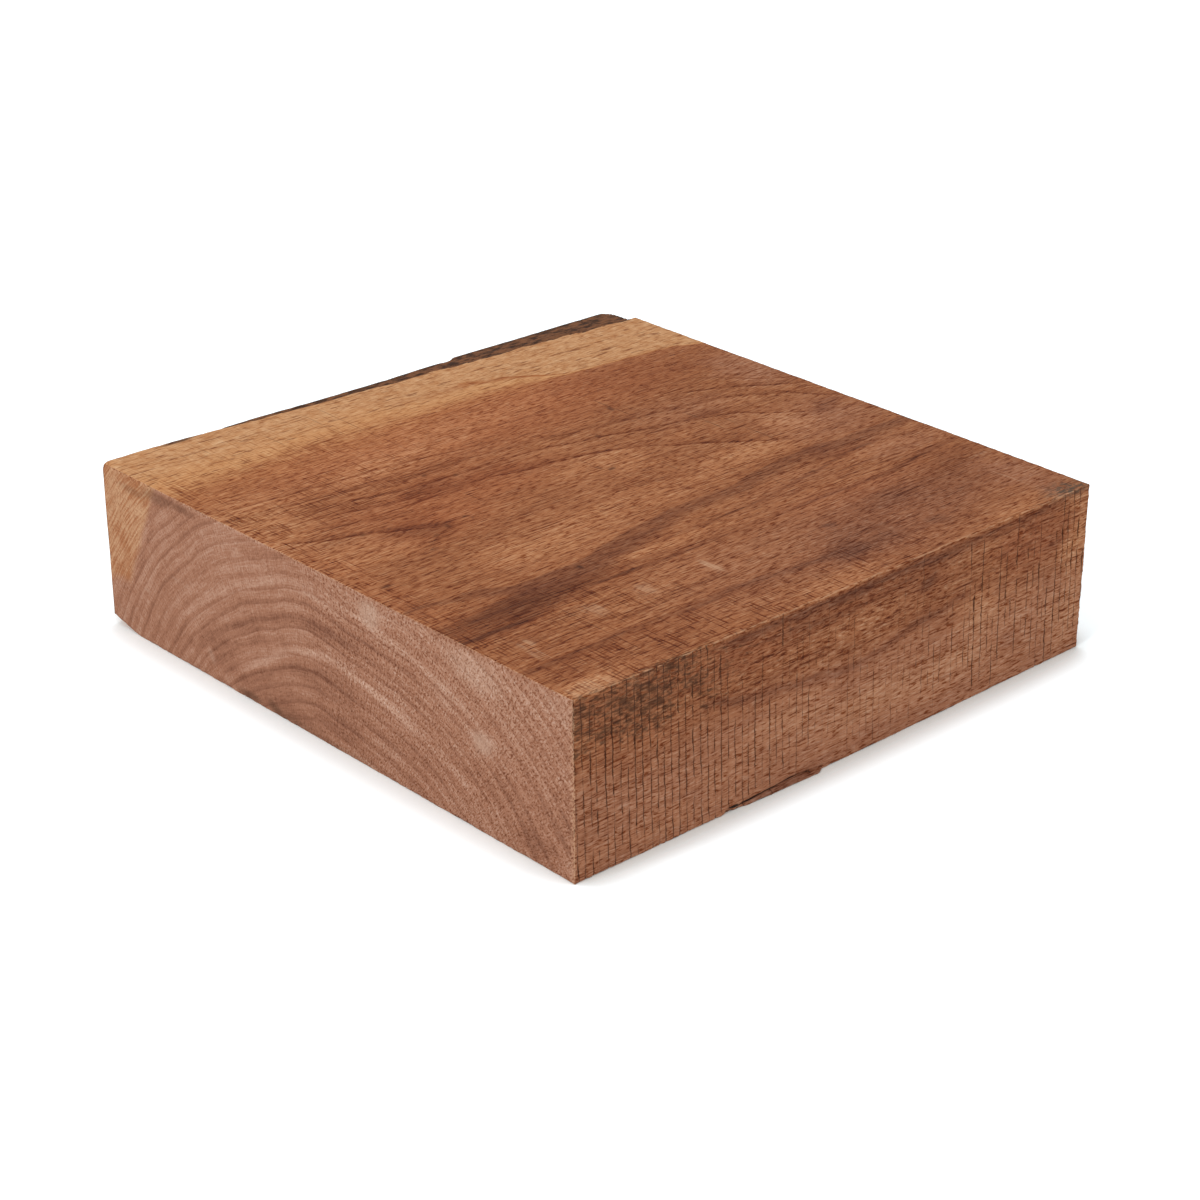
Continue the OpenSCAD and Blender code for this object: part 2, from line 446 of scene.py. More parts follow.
def build_shell():
    """Lays out the board. Letters name its parts: left, right, front, k for back, bottom, top."""
    shell = Shell()
    ends = (("l", 0.0, LEFT_END), ("r", LENGTH, RIGHT_END))
    walls = (("f", 0.0, FRONT_FACE), ("k", WIDTH, BACK_FACE))
    levels = (("b", 0.0, BOTTOM), ("t", HEIGHT, TOP))
    for x, u, end in ends:
        for y, v, wall in walls:
            for h, z, level in levels:
                shell.add_corner(x + y + h, u, v, z, end, wall, level)
    back_u = merged(spread(LENGTH, 1.0), np.arange(LENGTH - 16, LENGTH - 1, 0.45))
    for y, v, wall in walls:
        for h, z, level in levels:
            places = COLUMNS if wall == FRONT_FACE else back_u
            shell.add_edge("l" + y + h, "r" + y + h, places, v, z, wall, level)
    for x, u, end in ends:
        for h, z, level in levels:
            places = spread(WIDTH, 0.6 if x + h == "lt" else 1.1)
            shell.add_edge(x + "f" + h, x + "k" + h, u, places, z, end, level)
        for y, v, wall in walls:
            shell.add_edge(x + y + "b", x + y + "t", u, v, spread(HEIGHT, 0.6), end, wall)

    # Rows lie closer at the bark and its broken end, and on the front at the splinter
    top_u = merged(spread(LENGTH, 1.5), np.arange(LENGTH - 14, LENGTH - 1.2, 0.5))
    top_v = merged(spread(WIDTH, 1.05), np.arange(WIDTH - 14, WIDTH - 1.2, 0.7))
    low_u, low_v = spread(LENGTH, 2.6), spread(WIDTH, 2.6)
    front_z = merged(spread(HEIGHT, 1.3), [0.25, 0.7, 0.95, 1.3, 1.7, 2.6, 3.4])
    back_z = merged(spread(HEIGHT, 1.5), np.arange(HEIGHT - 16, HEIGHT - 1.2, 0.8))
    end_z, left_v = spread(HEIGHT, 1.1), spread(WIDTH, 1.1)
    right_v = merged(spread(WIDTH, 1.6), np.arange(WIDTH - 12, WIDTH - 1.2, 0.6))
    shell.face(TOP, top_u, top_v, lambda a, b: (a, b, HEIGHT), ("lft", "rft", "rkt", "lkt"))
    shell.face(BOTTOM, low_v, low_u, lambda a, b: (b, a, 0.0), ("lfb", "lkb", "rkb", "rfb"))
    shell.face(FRONT_FACE, COLUMNS, front_z, lambda a, b: (a, 0.0, b), ("lfb", "rfb", "rft", "lft"))
    shell.face(BACK_FACE, back_z, back_u, lambda a, b: (b, WIDTH, a), ("lkb", "lkt", "rkt", "rkb"))
    shell.face(LEFT_END, end_z, left_v, lambda a, b: (0.0, b, a), ("lfb", "lft", "lkt", "lkb"))
    shell.face(RIGHT_END, right_v, end_z, lambda a, b: (LENGTH, a, b), ("rfb", "rkb", "rkt", "rft"))
    return shell


# ---------------------------------------------------------------- the worn, torn and barked shape
# The bark and its ragged line lie within this distance of the back
BARK_REACH = 16
# How far the middle of the front bows out past its ends
FRONT_BOW = 0.55
# How far from the back the top is drawn in and out with it, and how much of the other edges' wear the
# back's edges have
BACK_FOLLOWED = 9
BACK_WEAR = 0.12


def bark_band(u):
    """Width of the bark on the top at u."""
    return BARK_WIDTH * np.clip((u - BARK_START) / (LENGTH - BARK_START), 0, 1)


def behind_bark_line(u, v):
    """How far behind the line where sapwood meets bark a point of the top lies."""
    ragged = 0.35 * noise(u / 5, 0, 0, 31) + 0.2 * noise(u / 1.7, 0, 0, 32)
    return v - (WIDTH - bark_band(u)) - ragged * ramp(0, 3, bark_band(u))


def still_barked(u, v):
    """1 where the bark remains, 0 past its broken and rounded end."""
    du = np.maximum(u - (LENGTH - BARK_END_GAP - BARK_END_RADIUS), 0)
    dv = np.maximum(v - (WIDTH - BARK_END_RADIUS), 0)
    outside = np.hypot(du, dv) - BARK_END_RADIUS + 0.25 * noise(v / 1.5, u / 1.5, 0, 33)
    return 1 - ramp(-0.4, 0.35, outside - 0.8 * ramp(0.5 * BARK_END_RADIUS, 0, du))


def is_bark_on_back(u, z):
    """1 on the barked part of the back, whose lower edge follows the round of the log."""
    depth = bark_band(u) * math.tan(BARK_SLOPE) + 0.5 * noise(u / 4, 0, 0, 65)
    within = ramp(LENGTH - 2.4, LENGTH - 3.2, u) * ramp(0.2, 1.2, bark_band(u))
    return ramp(-0.3, 0.3, z - (HEIGHT - depth)) * within


def top_height(u, v):
    """Height of the top, with the bark and the bare slope past its end."""
    behind = behind_bark_line(u, v)
    share = np.clip(behind / np.maximum(bark_band(u), 0.5), 0, 1)
    ridges = 0.22 * np.abs(noise(u / 7, v / 1.3, 0, 34)) + 0.12 * np.abs(noise(u / 2.2, v / 0.9, 0, 35))
    crevice = 0.3 * bump(behind, 0.6, 0.7)
    bark = HEIGHT - ramp(0, 1.2, behind) * ridges * ramp(1.0, 0.6, share) - crevice
    slope = HEIGHT - np.maximum(behind, 0) * math.tan(BARK_SLOPE)
    kept = still_barked(u, v)
    return np.where(behind > 0, kept * bark + (1 - kept) * slope, HEIGHT)


def arris_loss(along):
    """How much wood is missing from an edge, a little everywhere and more where it has chipped."""
    chips = np.clip(noise(along / 2.6, 0, 0, 81) * 1.5 - 0.55, 0, 1)
    return 0.04 + 0.1 * np.abs(noise(along / 1.1, 0, 0, 82)) + 0.5 * chips


def splinter_reach(u):
    """How far the torn splinter stands out of the front at u."""
    end = SPLINTER_START + SPLINTER_LENGTH
    body = [(SPLINTER_START, 0.0), (SPLINTER_START + 5, 0.55), (SPLINTER_TIP, 1.0), (end, 0.0)]
    return SPLINTER_REACH * through(body, u)


def crack_height(u):
    """How high above the bottom the crack runs that frees the splinter."""
    start = SPLINTER_START
    way = [(start - 4, 0.5), (start + 8, 1.2), (start + 22, 1.7), (SPLINTER_TIP, 1.1)]
    return through(way, u) + 0.12 * noise(u / 3, 0, 0, 54)


def top_depth(u, v, z):
    """How far the sawn top lies under its flat plane."""
    return 0.075 + 0.04 * noise(u / 3.5, v / 60, 0, 41) + 0.03 * noise(u / 20, v / 4, 0, 42)


def bottom_depth(u, v, z):
    """How far the bottom lies above its flat plane."""
    return 0.05 + 0.05 * np.abs(noise(u / 9, v / 9, 0, 71))


def front_depth(u, v, z):
    """How far the front lies behind its plane: saw marks, torn grain, and the bow of the sawn face."""
    bow = FRONT_BOW * (1 - ((u - LENGTH / 2) / (LENGTH / 2)) ** 2)
    torn = 0.09 * layered(u / 5, z / 1.3, 0, 51) + 0.05 * noise(u / 1.1, z / 1.4, 0, 52)
    rough = 0.14 * np.clip(layered(u / 3, z / 2, 0, 53), 0, 1) * ramp(28, 40, z)
    out = splinter_reach(u)
    lip = np.interp(z, [0.75, 1.0, 1.35, 1.7], [1, 0.5, 0, 0]) * np.maximum(out - bow, 0)
    crack = 0.7 * bump(z, crack_height(u), 0.5) * ramp(0.2, 0.8, out)
    nick = NICK_SIZE * bump(u, NICK_MIDDLE, NICK_LENGTH / 2 + 0.4) * ramp(NICK_SIZE + 0.5, NICK_SIZE - 0.4, z)
    return 0.16 + MARK_DEPTH * saw_marks(u, z) + torn + rough + crack + nick - lip - bow


# How far the back is set in from a straight line at u, to the left of the bark's step
BACK_SET_IN = [(0, 0.3), (25, 0.4), (45, 0.8), (75, 1.5), (105, 1.6), (118, 1.0), (130.5, 0.9), (132.5, 0)]


def back_depth(u, v, z):
    """How far the back lies inside its plane, with coarse saw marks and ridged bark above."""
    saw = 0.12 * noise(u / 1.3, z / 40, 0, 61) + 0.08 * noise(u / 9, z / 2, 0, 62)
    step = through(BACK_SET_IN, u) + 0.5 * bump(u, 128.5, 3.5) * ramp(HEIGHT - 6, HEIGHT, z)
    ridges = 0.35 * np.abs(noise(u / 8, z / 1.6, 0, 63)) + 0.15 * np.abs(noise(u / 2, z / 1.1, 0, 64))
    ridges = ridges * ramp(HEIGHT - 0.2, HEIGHT - 2.5, z)
    stands_out = (0.3 + 0.25 * ramp(133, 185, u)) * ramp(131, 133, u) * ramp(LENGTH - 3, LENGTH - 8, u)
    stands_out = stands_out * ramp(HEIGHT - 8, HEIGHT - 2, z)
    return 0.02 + step - stands_out + np.where(is_bark_on_back(u, z) > 0.5, ridges, saw + 0.2)


def left_depth(u, v, z):
    """How far the left end lies inside its plane."""
    return 0.12 + 0.05 * noise(v / 12, z / 12, 0, 72) + 0.03 * noise(v / 2, z / 2, 0, 73)


def right_depth(u, v, z):
    """How far the right end lies inside its plane."""
    return 0.15 + 0.08 * noise(v / 2.2, z / 14, 0, 74) + 0.04 * noise(v / 2, z / 2, 0, 75)


def outward(corner_a, corner_b):
    """The outward level direction of the wall that runs from a to b with the board on its left."""
    way = corner_b - corner_a
    return np.array([way[1], -way[0], 0]) / np.hypot(*way)


# Each side's outward direction, and how far inside its flat plane its surface lies
SIDES = {
    TOP: (np.array([0, 0, 1.0]), top_depth),
    BOTTOM: (np.array([0, 0, -1.0]), bottom_depth),
    FRONT_FACE: (outward(CORNERS[0, 0], CORNERS[1, 0]), front_depth),
    RIGHT_END: (outward(CORNERS[1, 0], CORNERS[1, 1]), right_depth),
    BACK_FACE: (outward(CORNERS[1, 1], CORNERS[0, 1]), back_depth),
    LEFT_END: (outward(CORNERS[0, 1], CORNERS[0, 0]), left_depth),
}


def settle(board, flags):
    """Moves every point of the flat board to where the real surface lies, in frame millimetres."""
    u, v, z = board.T
    level = np.where(v > WIDTH - BARK_REACH, top_height(u, v), HEIGHT) / HEIGHT
    near_back = flags[:, BACK_FACE] | flags[:, TOP] | flags[:, RIGHT_END]
    place = np.concatenate([plan(u, v), (z * np.where(near_back, level, 1))[:, None]], 1)
    for side, (normal, depth) in SIDES.items():
        on = flags[:, side]
        place[on] -= normal * depth(u[on], v[on], z[on])[:, None]

    # The top follows the back in and out along its edge
    inner = flags[:, TOP] & ~flags[:, BACK_FACE]
    follow = back_depth(u[inner], WIDTH, np.full(inner.sum(), HEIGHT))
    follow = follow * ramp(WIDTH - BACK_FOLLOWED, WIDTH, v[inner])
    place[inner] -= SIDES[BACK_FACE][0] * follow[:, None]

    # The edges are rubbed and chipped, each in its own places
    shared = flags.sum(1) > 1
    along = np.where(flags[:, LEFT_END] | flags[:, RIGHT_END], v + 3 * z, u + 500 + 3 * z)
    loss = arris_loss(along) * np.where(flags[:, BACK_FACE], BACK_WEAR, 1.0)
    for side, (normal, _) in SIDES.items():
        on = flags[:, side] & shared
        place[on] -= normal * loss[on][:, None]
    low_front = flags[:, FRONT_FACE] & flags[:, BOTTOM]
    place[low_front, 2] += 0.8 * NICK_SIZE * bump(u[low_front], NICK_MIDDLE, NICK_LENGTH / 2)

    # The back left top corner is knocked round
    radius = KNOCKED_RADIUS * ramp(WIDTH - 7, WIDTH - 1, v)
    aside, above = np.maximum(radius - u, 0), np.maximum(radius - (HEIGHT - z), 0)
    reach = np.maximum(np.hypot(aside, above), 0.001)
    past = np.maximum(reach - radius, 0)
    place[:, 0] += past * aside / reach
    place[:, 2] -= past * above / reach

    # The back left bottom corner is worn off along a sloping plane
    corner = np.array([*CORNERS[0, 1], WORN_HEIGHT])
    sideways = WORN_HEIGHT * math.sqrt(0.5)
    away = np.array([-sideways, sideways, -WORN_RUN * math.sqrt(0.5)])
    away /= np.linalg.norm(away)
    past = np.maximum((place - corner) @ away, 0)
    place -= away * past[:, None]
    place[:, 2] = np.maximum(place[:, 2], 0)
    return place


# ---------------------------------------------------------------- what the wood looks like where
# Broad lighter and darker places on each side: (along, across, half length, half width, amount)
TOP_TONES = [
    (55, 76, 30, 13, 0.5), (100, 80, 34, 11, 0.35), (146, 86, 26, 9, 0.5), (22, 104, 22, 12, 0.3),
    (3, 108, 12, 30, 0.25), (6, 148, 20, 22, 0.15), (8, 128, 12, 10, 0.15), (108, 108, 26, 14, 0.4),
    (105, 130, 18, 8, 0.3), (58, 127, 13, 9, -0.6), (80, 124, 22, 9, -0.25), (40, 128, 20, 9, -0.2),
    (112, 122, 22, 4, 0.2), (145, 108, 16, 7, 0.15), (176, 96, 13, 14, 0.55), (158, 118, 8, 4, -0.45),
    (193, 98, 7, 7, -0.45), (60, 152, 40, 9, 0.5), (100, 160, 40, 10, 0.1), (170, 155, 40, 12, -0.3),
    (150, 165, 30, 8, -0.3), (198, 138, 12, 15, 0.15), (25, 50, 45, 7, -0.85), (10, 43, 24, 4, -0.5),
    (8, 61, 10, 4, 0.2), (90, 53, 34, 4, 0.5), (178, 62, 26, 6, 0.35), (60, 34, 60, 6, 0.2),
    (125, 20, 22, 16, -0.5), (165, 28, 34, 14, -0.5), (190, 42, 18, 7, -0.3), (12, 6, 22, 6, 0.2),
    (80, 8, 30, 8, 0.15), (190, 4, 7, 5, 0.3), (148, 47, 30, 3, -0.3), (12, 150, 14, 22, 0.2),
    (100, 12, 110, 14, -0.18), (23, 35, 30, 14, -0.15), (20, 58, 22, 10, -0.2), (75, 36, 30, 12, -0.05),
    (148, 36, 20, 12, -0.25), (180, 40, 26, 16, -0.15), (170, 60, 30, 10, -0.15), (38, 107, 14, 10, -0.45),
    (90, 165, 60, 18, 0.25), (35, 110, 14, 14, -0.3), (7, 3, 13, 7, 0.6), (10, 145, 24, 30, 0.2),
    (90, 165, 120, 26, 0.25), (12, 11, 14, 9, -0.12), (115, 36, 22, 8, -0.12), (150, 12, 14, 8, -0.12),
    (195, 12, 10, 12, -0.18), (34, 105, 12, 10, -0.14), (57, 150, 12, 8, 0.15), (126, 80, 12, 8, 0.12),
    (170, 80, 10, 8, 0.12), (82, 198, 24, 8, -0.15), (100, 4, 16, 7, 0.45), (175, 4, 18, 6, 0.35),
    (113, 15, 9, 8, -0.45), (148, 13, 5, 5, -0.4), (124, 31, 3, 2.5, -0.6),
]
FRONT_TONES = [
    (12, 46, 26, 7, -0.15), (52, 48, 14, 6, -0.15), (120, 14, 45, 9, 0.5), (80, 21, 22, 7, 0.3),
    (156, 26, 12, 9, 0.7), (174, 26, 10, 7, 0.4), (57, 10, 12, 10, 0.15), (20, 6, 30, 6, 0.3),
    (15, 20, 26, 8, 0.1), (195, 16, 12, 18, 0.5), (170, 13, 5, 5, -0.5), (41, 9, 4, 4, -0.3),
    (104, 41, 26, 5, 0.45), (150, 44, 13, 5, 0.1), (133, 43, 5, 4, -0.6), (178, 42, 17, 9, -0.45),
    (187, 39, 6, 3, -0.5), (60, 44, 12, 5, -0.1), (200, 45, 8, 12, 0.5), (100, 3, 60, 3, -0.2),
    (105, 46, 60, 9, -0.3), (170, 12, 40, 14, 0.3), (100, 15, 110, 18, 0.3), (200, 26, 8, 26, 0.4),
]
END_TONES = [
    (82, 47, 6, 6, 0.6), (38, 46, 16, 9, 0.45), (36, 27, 7, 5, 0.45), (52, 35, 9, 6, 0.25),
    (106, 35, 6, 5, -0.4), (104, 19, 18, 6, -0.55), (98, 8, 14, 4, -0.5), (14, 6, 8, 6, -0.5),
    (3, 20, 6, 9, -0.4), (125, 3, 20, 3, -0.5), (148, 42, 26, 8, 0.25), (165, 32, 20, 10, 0.15),
    (60, 13, 30, 8, -0.25), (157, 8, 3, 4, 0.5), (78, 9, 8, 3, 0.2), (185, 8, 20, 8, -0.25),
    (152, 10, 14, 9, -0.6), (100, 8, 60, 10, -0.3), (40, 48, 60, 8, 0.3), (205, 44, 8, 10, -0.4),
    (174, 44, 12, 6, 0.12), (80, 45, 12, 6, 0.1), (35, 26, 12, 10, 0.15), (82, 8, 12, 8, 0.1),
    (150, 26, 50, 10, -0.1), (8, 46, 12, 8, 0.25),
]

# Long darker and lighter bands: the places they run through, half width, amount
TOP_BANDS = [
    ([(0, 43), (22, 42.5)], 0.9, -0.9),
    ([(14, 121), (30, 114), (46, 106)], 0.7, -0.9),
    ([(53, 47.4), (63, 47.4)], 0.8, -1.0),
    ([(63, 46.6), (100, 46.5), (150, 47), (165, 46.3), (180, 49), (203, 52)], 1.3, -0.6),
    ([(100, 55.8), (120, 57.2), (135, 59), (150, 61.8), (160, 64), (175, 66.5)], 1.2, -0.6),
    ([(0, 19), (40, 19.5), (80, 19), (108, 17)], 3.2, -0.55),
    ([(100, 64), (125, 66.5), (150, 70)], 2.0, 0.25),
    ([(165, 66), (172, 66), (180, 66.5)], 1.5, -0.6),
    ([(60, 138.5), (75, 138.5)], 0.9, -0.6),
    ([(53, 150), (61, 149.2)], 0.8, -0.9),
    ([(0, 157), (20, 153), (40, 151)], 0.9, -0.5),
]
FRONT_BANDS = [
    ([(50, 35), (60, 32.5), (80, 29.5), (100, 27.5), (115, 29), (128, 32.5), (147, 34.5)], 2.6, -0.75),
    ([(62, 25.5), (85, 22.5), (110, 22), (135, 25), (165, 31)], 1.6, -0.3),
    ([(55, 51), (90, 50.5), (125, 51), (160, 50), (185, 51)], 3.2, -0.7),
    ([(70, 46.5), (100, 45), (125, 47)], 1.2, -0.4),
    ([(30, 12), (60, 8), (110, 9), (150, 12)], 1.2, -0.25),
]
END_BANDS = [
    ([(168, 17), (158, 26), (148, 32), (139.5, 36), (129.5, 41), (115, 45), (85, 43.5), (60, 40), (40, 34)],
     3.4, 0.55),
    ([(166, 8), (154.5, 17.7), (146, 21), (138, 25), (129, 29.3), (119.5, 32.7), (105, 36), (92, 35)],
     2.8, -0.75),
    ([(150, 14), (134.5, 20), (119.5, 25), (109, 28.5)], 1.9, -0.6),
    ([(150, 3), (136, 12.5), (126, 18.5), (116, 24), (105, 27), (96, 27.3), (84, 24.8), (71, 21.3),
     (59, 18.6), (42, 12)], 2.4, 0.75),
    ([(142, 6), (130, 12), (118, 18), (104, 21)], 2.2, -0.55),
    ([(178, 6), (168, 17), (160, 24)], 2.6, -0.3),
    ([(197, 14), (191, 27), (186, 37), (181, 48)], 1.8, -0.6),
    ([(190, 14), (184, 27), (178, 38), (172, 48)], 1.6, 0.3),
    ([(204, 50.5), (180, 51), (165, 50)], 1.6, -0.7),
    ([(30, 34), (18, 24), (4, 10)], 1.6, -0.35),
    ([(52, 30), (34, 17), (20, 4)], 1.8, -0.3),
    ([(70, 29), (52, 22), (36, 12)], 1.5, -0.25),
]

# Pale scuffs and dark spots, and smudges of grime, in the same form as the tones
SCUFFS = [
    (25, 208.7, 9, 1.6, -0.9), (46, 208.8, 5, 1.0, -0.7), (38, 35, 5, 6, 0.6), (41, 36, 1.5, 4, 0.6),
    (57.5, 35, 5, 6, 0.7), (82, 34, 2.5, 7, 1.0), (12, 32, 3.5, 2.5, 0.9), (10.5, 26, 2, 7, 0.7),
    (8, 3, 14, 6, 0.6), (100, 38, 8, 2, 0.3), (142, 88, 3, 2, 0.5), (197, 38, 7, 1.2, 0.8),
    (136.5, 26, 1.2, 9, 0.6), (53.5, 58, 1.6, 1.6, -1.0), (8.5, 83.5, 2.5, 1.5, -0.7),
    (38.5, 101, 1.4, 1.3, -0.9), (53.5, 106.3, 1.6, 1.2, -0.9), (55.2, 104.3, 1.3, 1.2, -0.8),
    (107, 104, 2, 1.5, -0.8), (104.8, 107, 1.2, 1.8, -0.6), (63, 137, 1.5, 1.3, -0.7),
    (70.5, 131.5, 1.5, 1.5, -0.7), (122, 126.5, 2, 1.3, -0.7), (140.8, 140.5, 1.6, 2.5, -0.8),
    (44.5, 104, 2.2, 2, -0.7), (23, 115, 1.8, 1.2, -0.7), (150, 61.8, 1.8, 1.2, -0.7),
    (32.5, 94, 2.4, 0.9, -0.7), (40, 91.2, 2.5, 0.8, -0.6), (179, 149, 1.8, 1.8, -0.5),
    (34.5, 97.5, 1.2, 1.2, -0.6), (82, 105, 1.2, 1, -0.6), (15, 43, 8, 0.8, -0.6), (5, 42, 5, 1, -0.7),
    (178, 49, 2.5, 1, -0.7), (170, 45.5, 3.5, 1, -0.6),
]
END_SCUFFS = [
    (82, 47, 7, 6, 0.8), (38, 46, 20, 8, 0.45), (36, 27, 6, 5, 0.8), (52, 35, 10, 6, 0.3),
    (157, 7, 2.5, 4, 0.6), (190, 17, 2, 1.5, 0.7), (173, 27, 3, 1, 0.6), (76, 9, 6, 3, 0.3),
    (206, 6, 3, 3, 0.4), (6, 48, 9, 6, 0.35),
]
END_SMUDGES = [
    (194, 48.4, 9, 1.8, 0.5), (181, 50, 10, 2.2, 0.6), (168, 50.6, 8, 1.8, 0.4), (140, 2, 7, 2, 0.9),
    (128, 2, 4, 2, 0.8), (100, 1, 30, 1.2, 0.3), (120, 1.5, 10, 1.5, 0.4),
]

# Where the rings show more plainly on the top, in the same form
RING_PATCHES = [
    (26, 116, 36, 18, 1.4), (20, 88, 30, 12, -0.1), (115, 122, 60, 16, 1.2), (185, 118, 34, 30, 1.3),
    (150, 98, 30, 16, 1.4), (60, 150, 90, 9, 0.9), (60, 133, 44, 6, 0.8),
]
# How weathered the front is near its top: (u, amount)
WEATHERED = [(0, 0.9), (42, 0.8), (56, 0.45), (75, 0.3), (150, 0.3), (178, 0.35), (197, 0.1), (203, 0)]

# How plainly other looks show on the top: the least everywhere, the most, and patches in the same form
TOP_LOOKS = {
    # The saw tore the fibres up instead of cutting them
    "torn": (0, 1, [(20, 8, 40, 14, 0.5), (120, 20, 60, 22, 0.7), (60, 150, 60, 16, 0.2),
        (170, 30, 40, 20, 0.5)]),
    # The fine lines show that the saw left straight across the grain
    "comb": (0.2, 1.2, [(3, 110, 9, 110, 1.0), (45, 6, 55, 18, 1.3), (105, 8, 40, 14, 0.9),
        (45, 38, 60, 22, 0.6), (40, 190, 42, 22, 0.6), (30, 140, 40, 22, 0.6), (130, 90, 45, 16, 0.4),
        (60, 160, 40, 16, 0.4)]),
    # The wood is a greyer pink than elsewhere
    "blush": (0, 1.2, [(198, 138, 16, 20, 0.9), (184, 90, 26, 22, 0.6), (185, 60, 26, 12, 0.5),
        (195, 20, 12, 22, 0.5), (192, 4, 8, 6, 0.6), (130, 25, 90, 30, 0.45), (140, 60, 26, 8, 0.2),
        (155, 125, 22, 12, 0.3)]),
    # The heartwood is redder than elsewhere
    "red": (0, 1, [(60, 122, 50, 20, 0.7), (100, 160, 110, 28, 0.9), (40, 105, 30, 14, 0.4),
        (165, 71, 8, 7, 0.5), (150, 45, 40, 8, 0.3), (4, 90, 7, 60, 0.3)]),
    # The surface is smooth and its pores hardly show
    "calm": (0, 1, [(185, 92, 26, 22, 0.5), (198, 135, 16, 20, 0.5), (180, 60, 22, 8, 0.4),
        (180, 190, 30, 12, 0.4)]),
    # Long thin dark strands show
    "strand": (0.3, 1.2, [(30, 40, 60, 22, 0.8), (65, 88, 55, 20, 0.6), (60, 135, 80, 22, 0.4),
        (150, 48, 60, 14, 0.5), (14, 120, 24, 60, 0.4)]),
}


def banded(bands, a, b):
    """The sum of soft bands at (a, b). Each is a line of points, and fades past its ends."""
    total = np.zeros(len(a))
    for points, half_width, amount in bands:
        points = sorted(points)
        fade = ramp(points[0][0] - 8, points[0][0] + 1, a) * ramp(points[-1][0] + 8, points[-1][0] - 1, a)
        wander = 0.25 * half_width * noise(a / 5, half_width, 0, 94)
        steep = np.abs(through(points, a + 1) - through(points, a - 1)) / 2
        far = (b - through(points, a) - wander) / np.hypot(1, steep)
        total += amount * fade * bump(far, 0, half_width)
    return total


def toned(patches, a, b, warp=1.0):
    """The sum of soft patches at (a, b), ovals that warp makes uneven."""
    a, b = a + 4 * warp * noise(a / 14, b / 5, 0, 96), b + 1.8 * warp * noise(a / 14, b / 5, 0, 97)
    total = np.zeros(len(a))
    for along, across, length, width, amount in patches:
        far = np.hypot((a - along) / length, (b - across) / width)
        total += amount * (1 - ramp(0.25, 1.15, far))
    return total


# Where the sapwood starts on the left end: along its top edge, and up its back edge
END_SAP_BACK = 180.5
END_SAP_LOW = 13.5
# The middle of the grey stain on the top
STAIN_PLACE = (196, 1)
# The distance that stands for no crack
NO_CRACK = 5.0


def end_sap_depth(v, z):
    """What sap_depth gives, on the left end, where the sapwood is a wedge with a sharp edge."""
    wander = 1.0 * noise(v / 9, z / 9, 0, 12)
    inner = (v - END_SAP_BACK - 0.5 * (HEIGHT - z) - wander) / 3.5
    lower = (z - END_SAP_LOW - 0.3 * (WIDTH - v) - wander) / 4
    return np.minimum(inner, lower)


def streak_depth(u, v, z):
    """How far a point lies in front of the heart streak's sharp edge, where 1 is the streak's width."""
    edge = through(STREAK_EDGE, u) + 0.3 * noise(u / 7, 0, 0, 91) + 0.35 * (HEIGHT - z)
    return (edge - v) / through(STREAK_WIDTH, u)


def weathering(u, v, z):
    """Brown-black weathering near the top of the front, most at its left, and smudges on the left end."""
    patchy = 0.5 + 0.35 * layered(u / 9, z / 4, v / 9, 92)
    ragged = z + 4 * noise(u / 8, 0, 0, 93) + 2 * noise(u / 2.2, 0, 0, 95)
    front = ramp(3.0, 0.5, v) * ramp(32, 40, ragged) * through(WEATHERED, u)
    front = front * np.where((u < 0.01) & (v > 0.01), 0, 1)
    smudged = ramp(1, 0, u) * ramp(HEIGHT, HEIGHT - 1, z) * toned(END_SMUDGES, v, z, 0.5)
    return np.clip(front * (0.6 + 0.4 * patchy) + smudged, 0, 1)


def stained(u, v, z):
    """The grey stain on the front right corner of the top."""
    far = np.hypot((u - STAIN_PLACE[0]) / 1.9, v - STAIN_PLACE[1]) + 2 * noise(u / 4, v / 3, 0, 98)
    return np.maximum(ramp(6, 1.5, far), 0.45 * ramp(10, 4, far)) * ramp(HEIGHT - 3, HEIGHT, z)


def ring_emphasis(u, v, z):
    """How plainly the ends of the growth rings show."""
    on_top = ramp(HEIGHT - 3, HEIGHT, z)
    return np.clip(0.3 + on_top * toned(RING_PATCHES, u, v) + 0.7 * ramp(2, 0, u) * (1 - on_top), 0, 1.6)


def side_looks(u, v, z):
    """What TOP_LOOKS gives, for the sides."""
    on_front, on_left = ramp(2, 0, v), ramp(1, 0, u)
    torn = through([(0, 0.3), (50, 0.5), (75, 1.0), (115, 1.0), (150, 0.6), (203, 0.5)], u)
    smooth = 0.25 + 0.55 * ramp(36, 28, z) * ramp(20, 60, u)
    return {
        "torn": on_front * ramp(24, 38, z) * torn + 0.05,
        "comb": 0.12 + 0.15 * ramp(60, 40, u),
        "blush": 0.25 + 0.9 * ramp(38, 20, z),
        "red": 0.6 * toned([(178, 42, 20, 10, 1.0), (60, 44, 26, 8, 0.5)], u, z),
        "calm": on_front * smooth + 0.9 * on_left * ramp(90, 125, v),
        "strand": 0.35 + 0.35 * ramp(25, 35, z),
    }


def tones(u, v, z):
    """How light or dark the wood is, with painted shade on the splinter's strip below its crack."""
    on_top = ramp(HEIGHT - 2, HEIGHT, z)
    front = ramp(2, 0, v) * (1 - on_top)
    end = ramp(2, 0, u) * (1 - on_top)
    # The splinter's strip below its crack: painted shade
    strip = ramp(crack_height(u) + 0.2, crack_height(u) - 0.5, z) * ramp(0.2, 0.8, splinter_reach(u))
    tone = on_top * (toned(TOP_TONES, u, v) + banded(TOP_BANDS, u, v))
    tone += front * (toned(FRONT_TONES, u, z) + banded(FRONT_BANDS, u, z) - strip)
    return tone + end * (toned(END_TONES, v, z) + banded(END_BANDS, v, z))


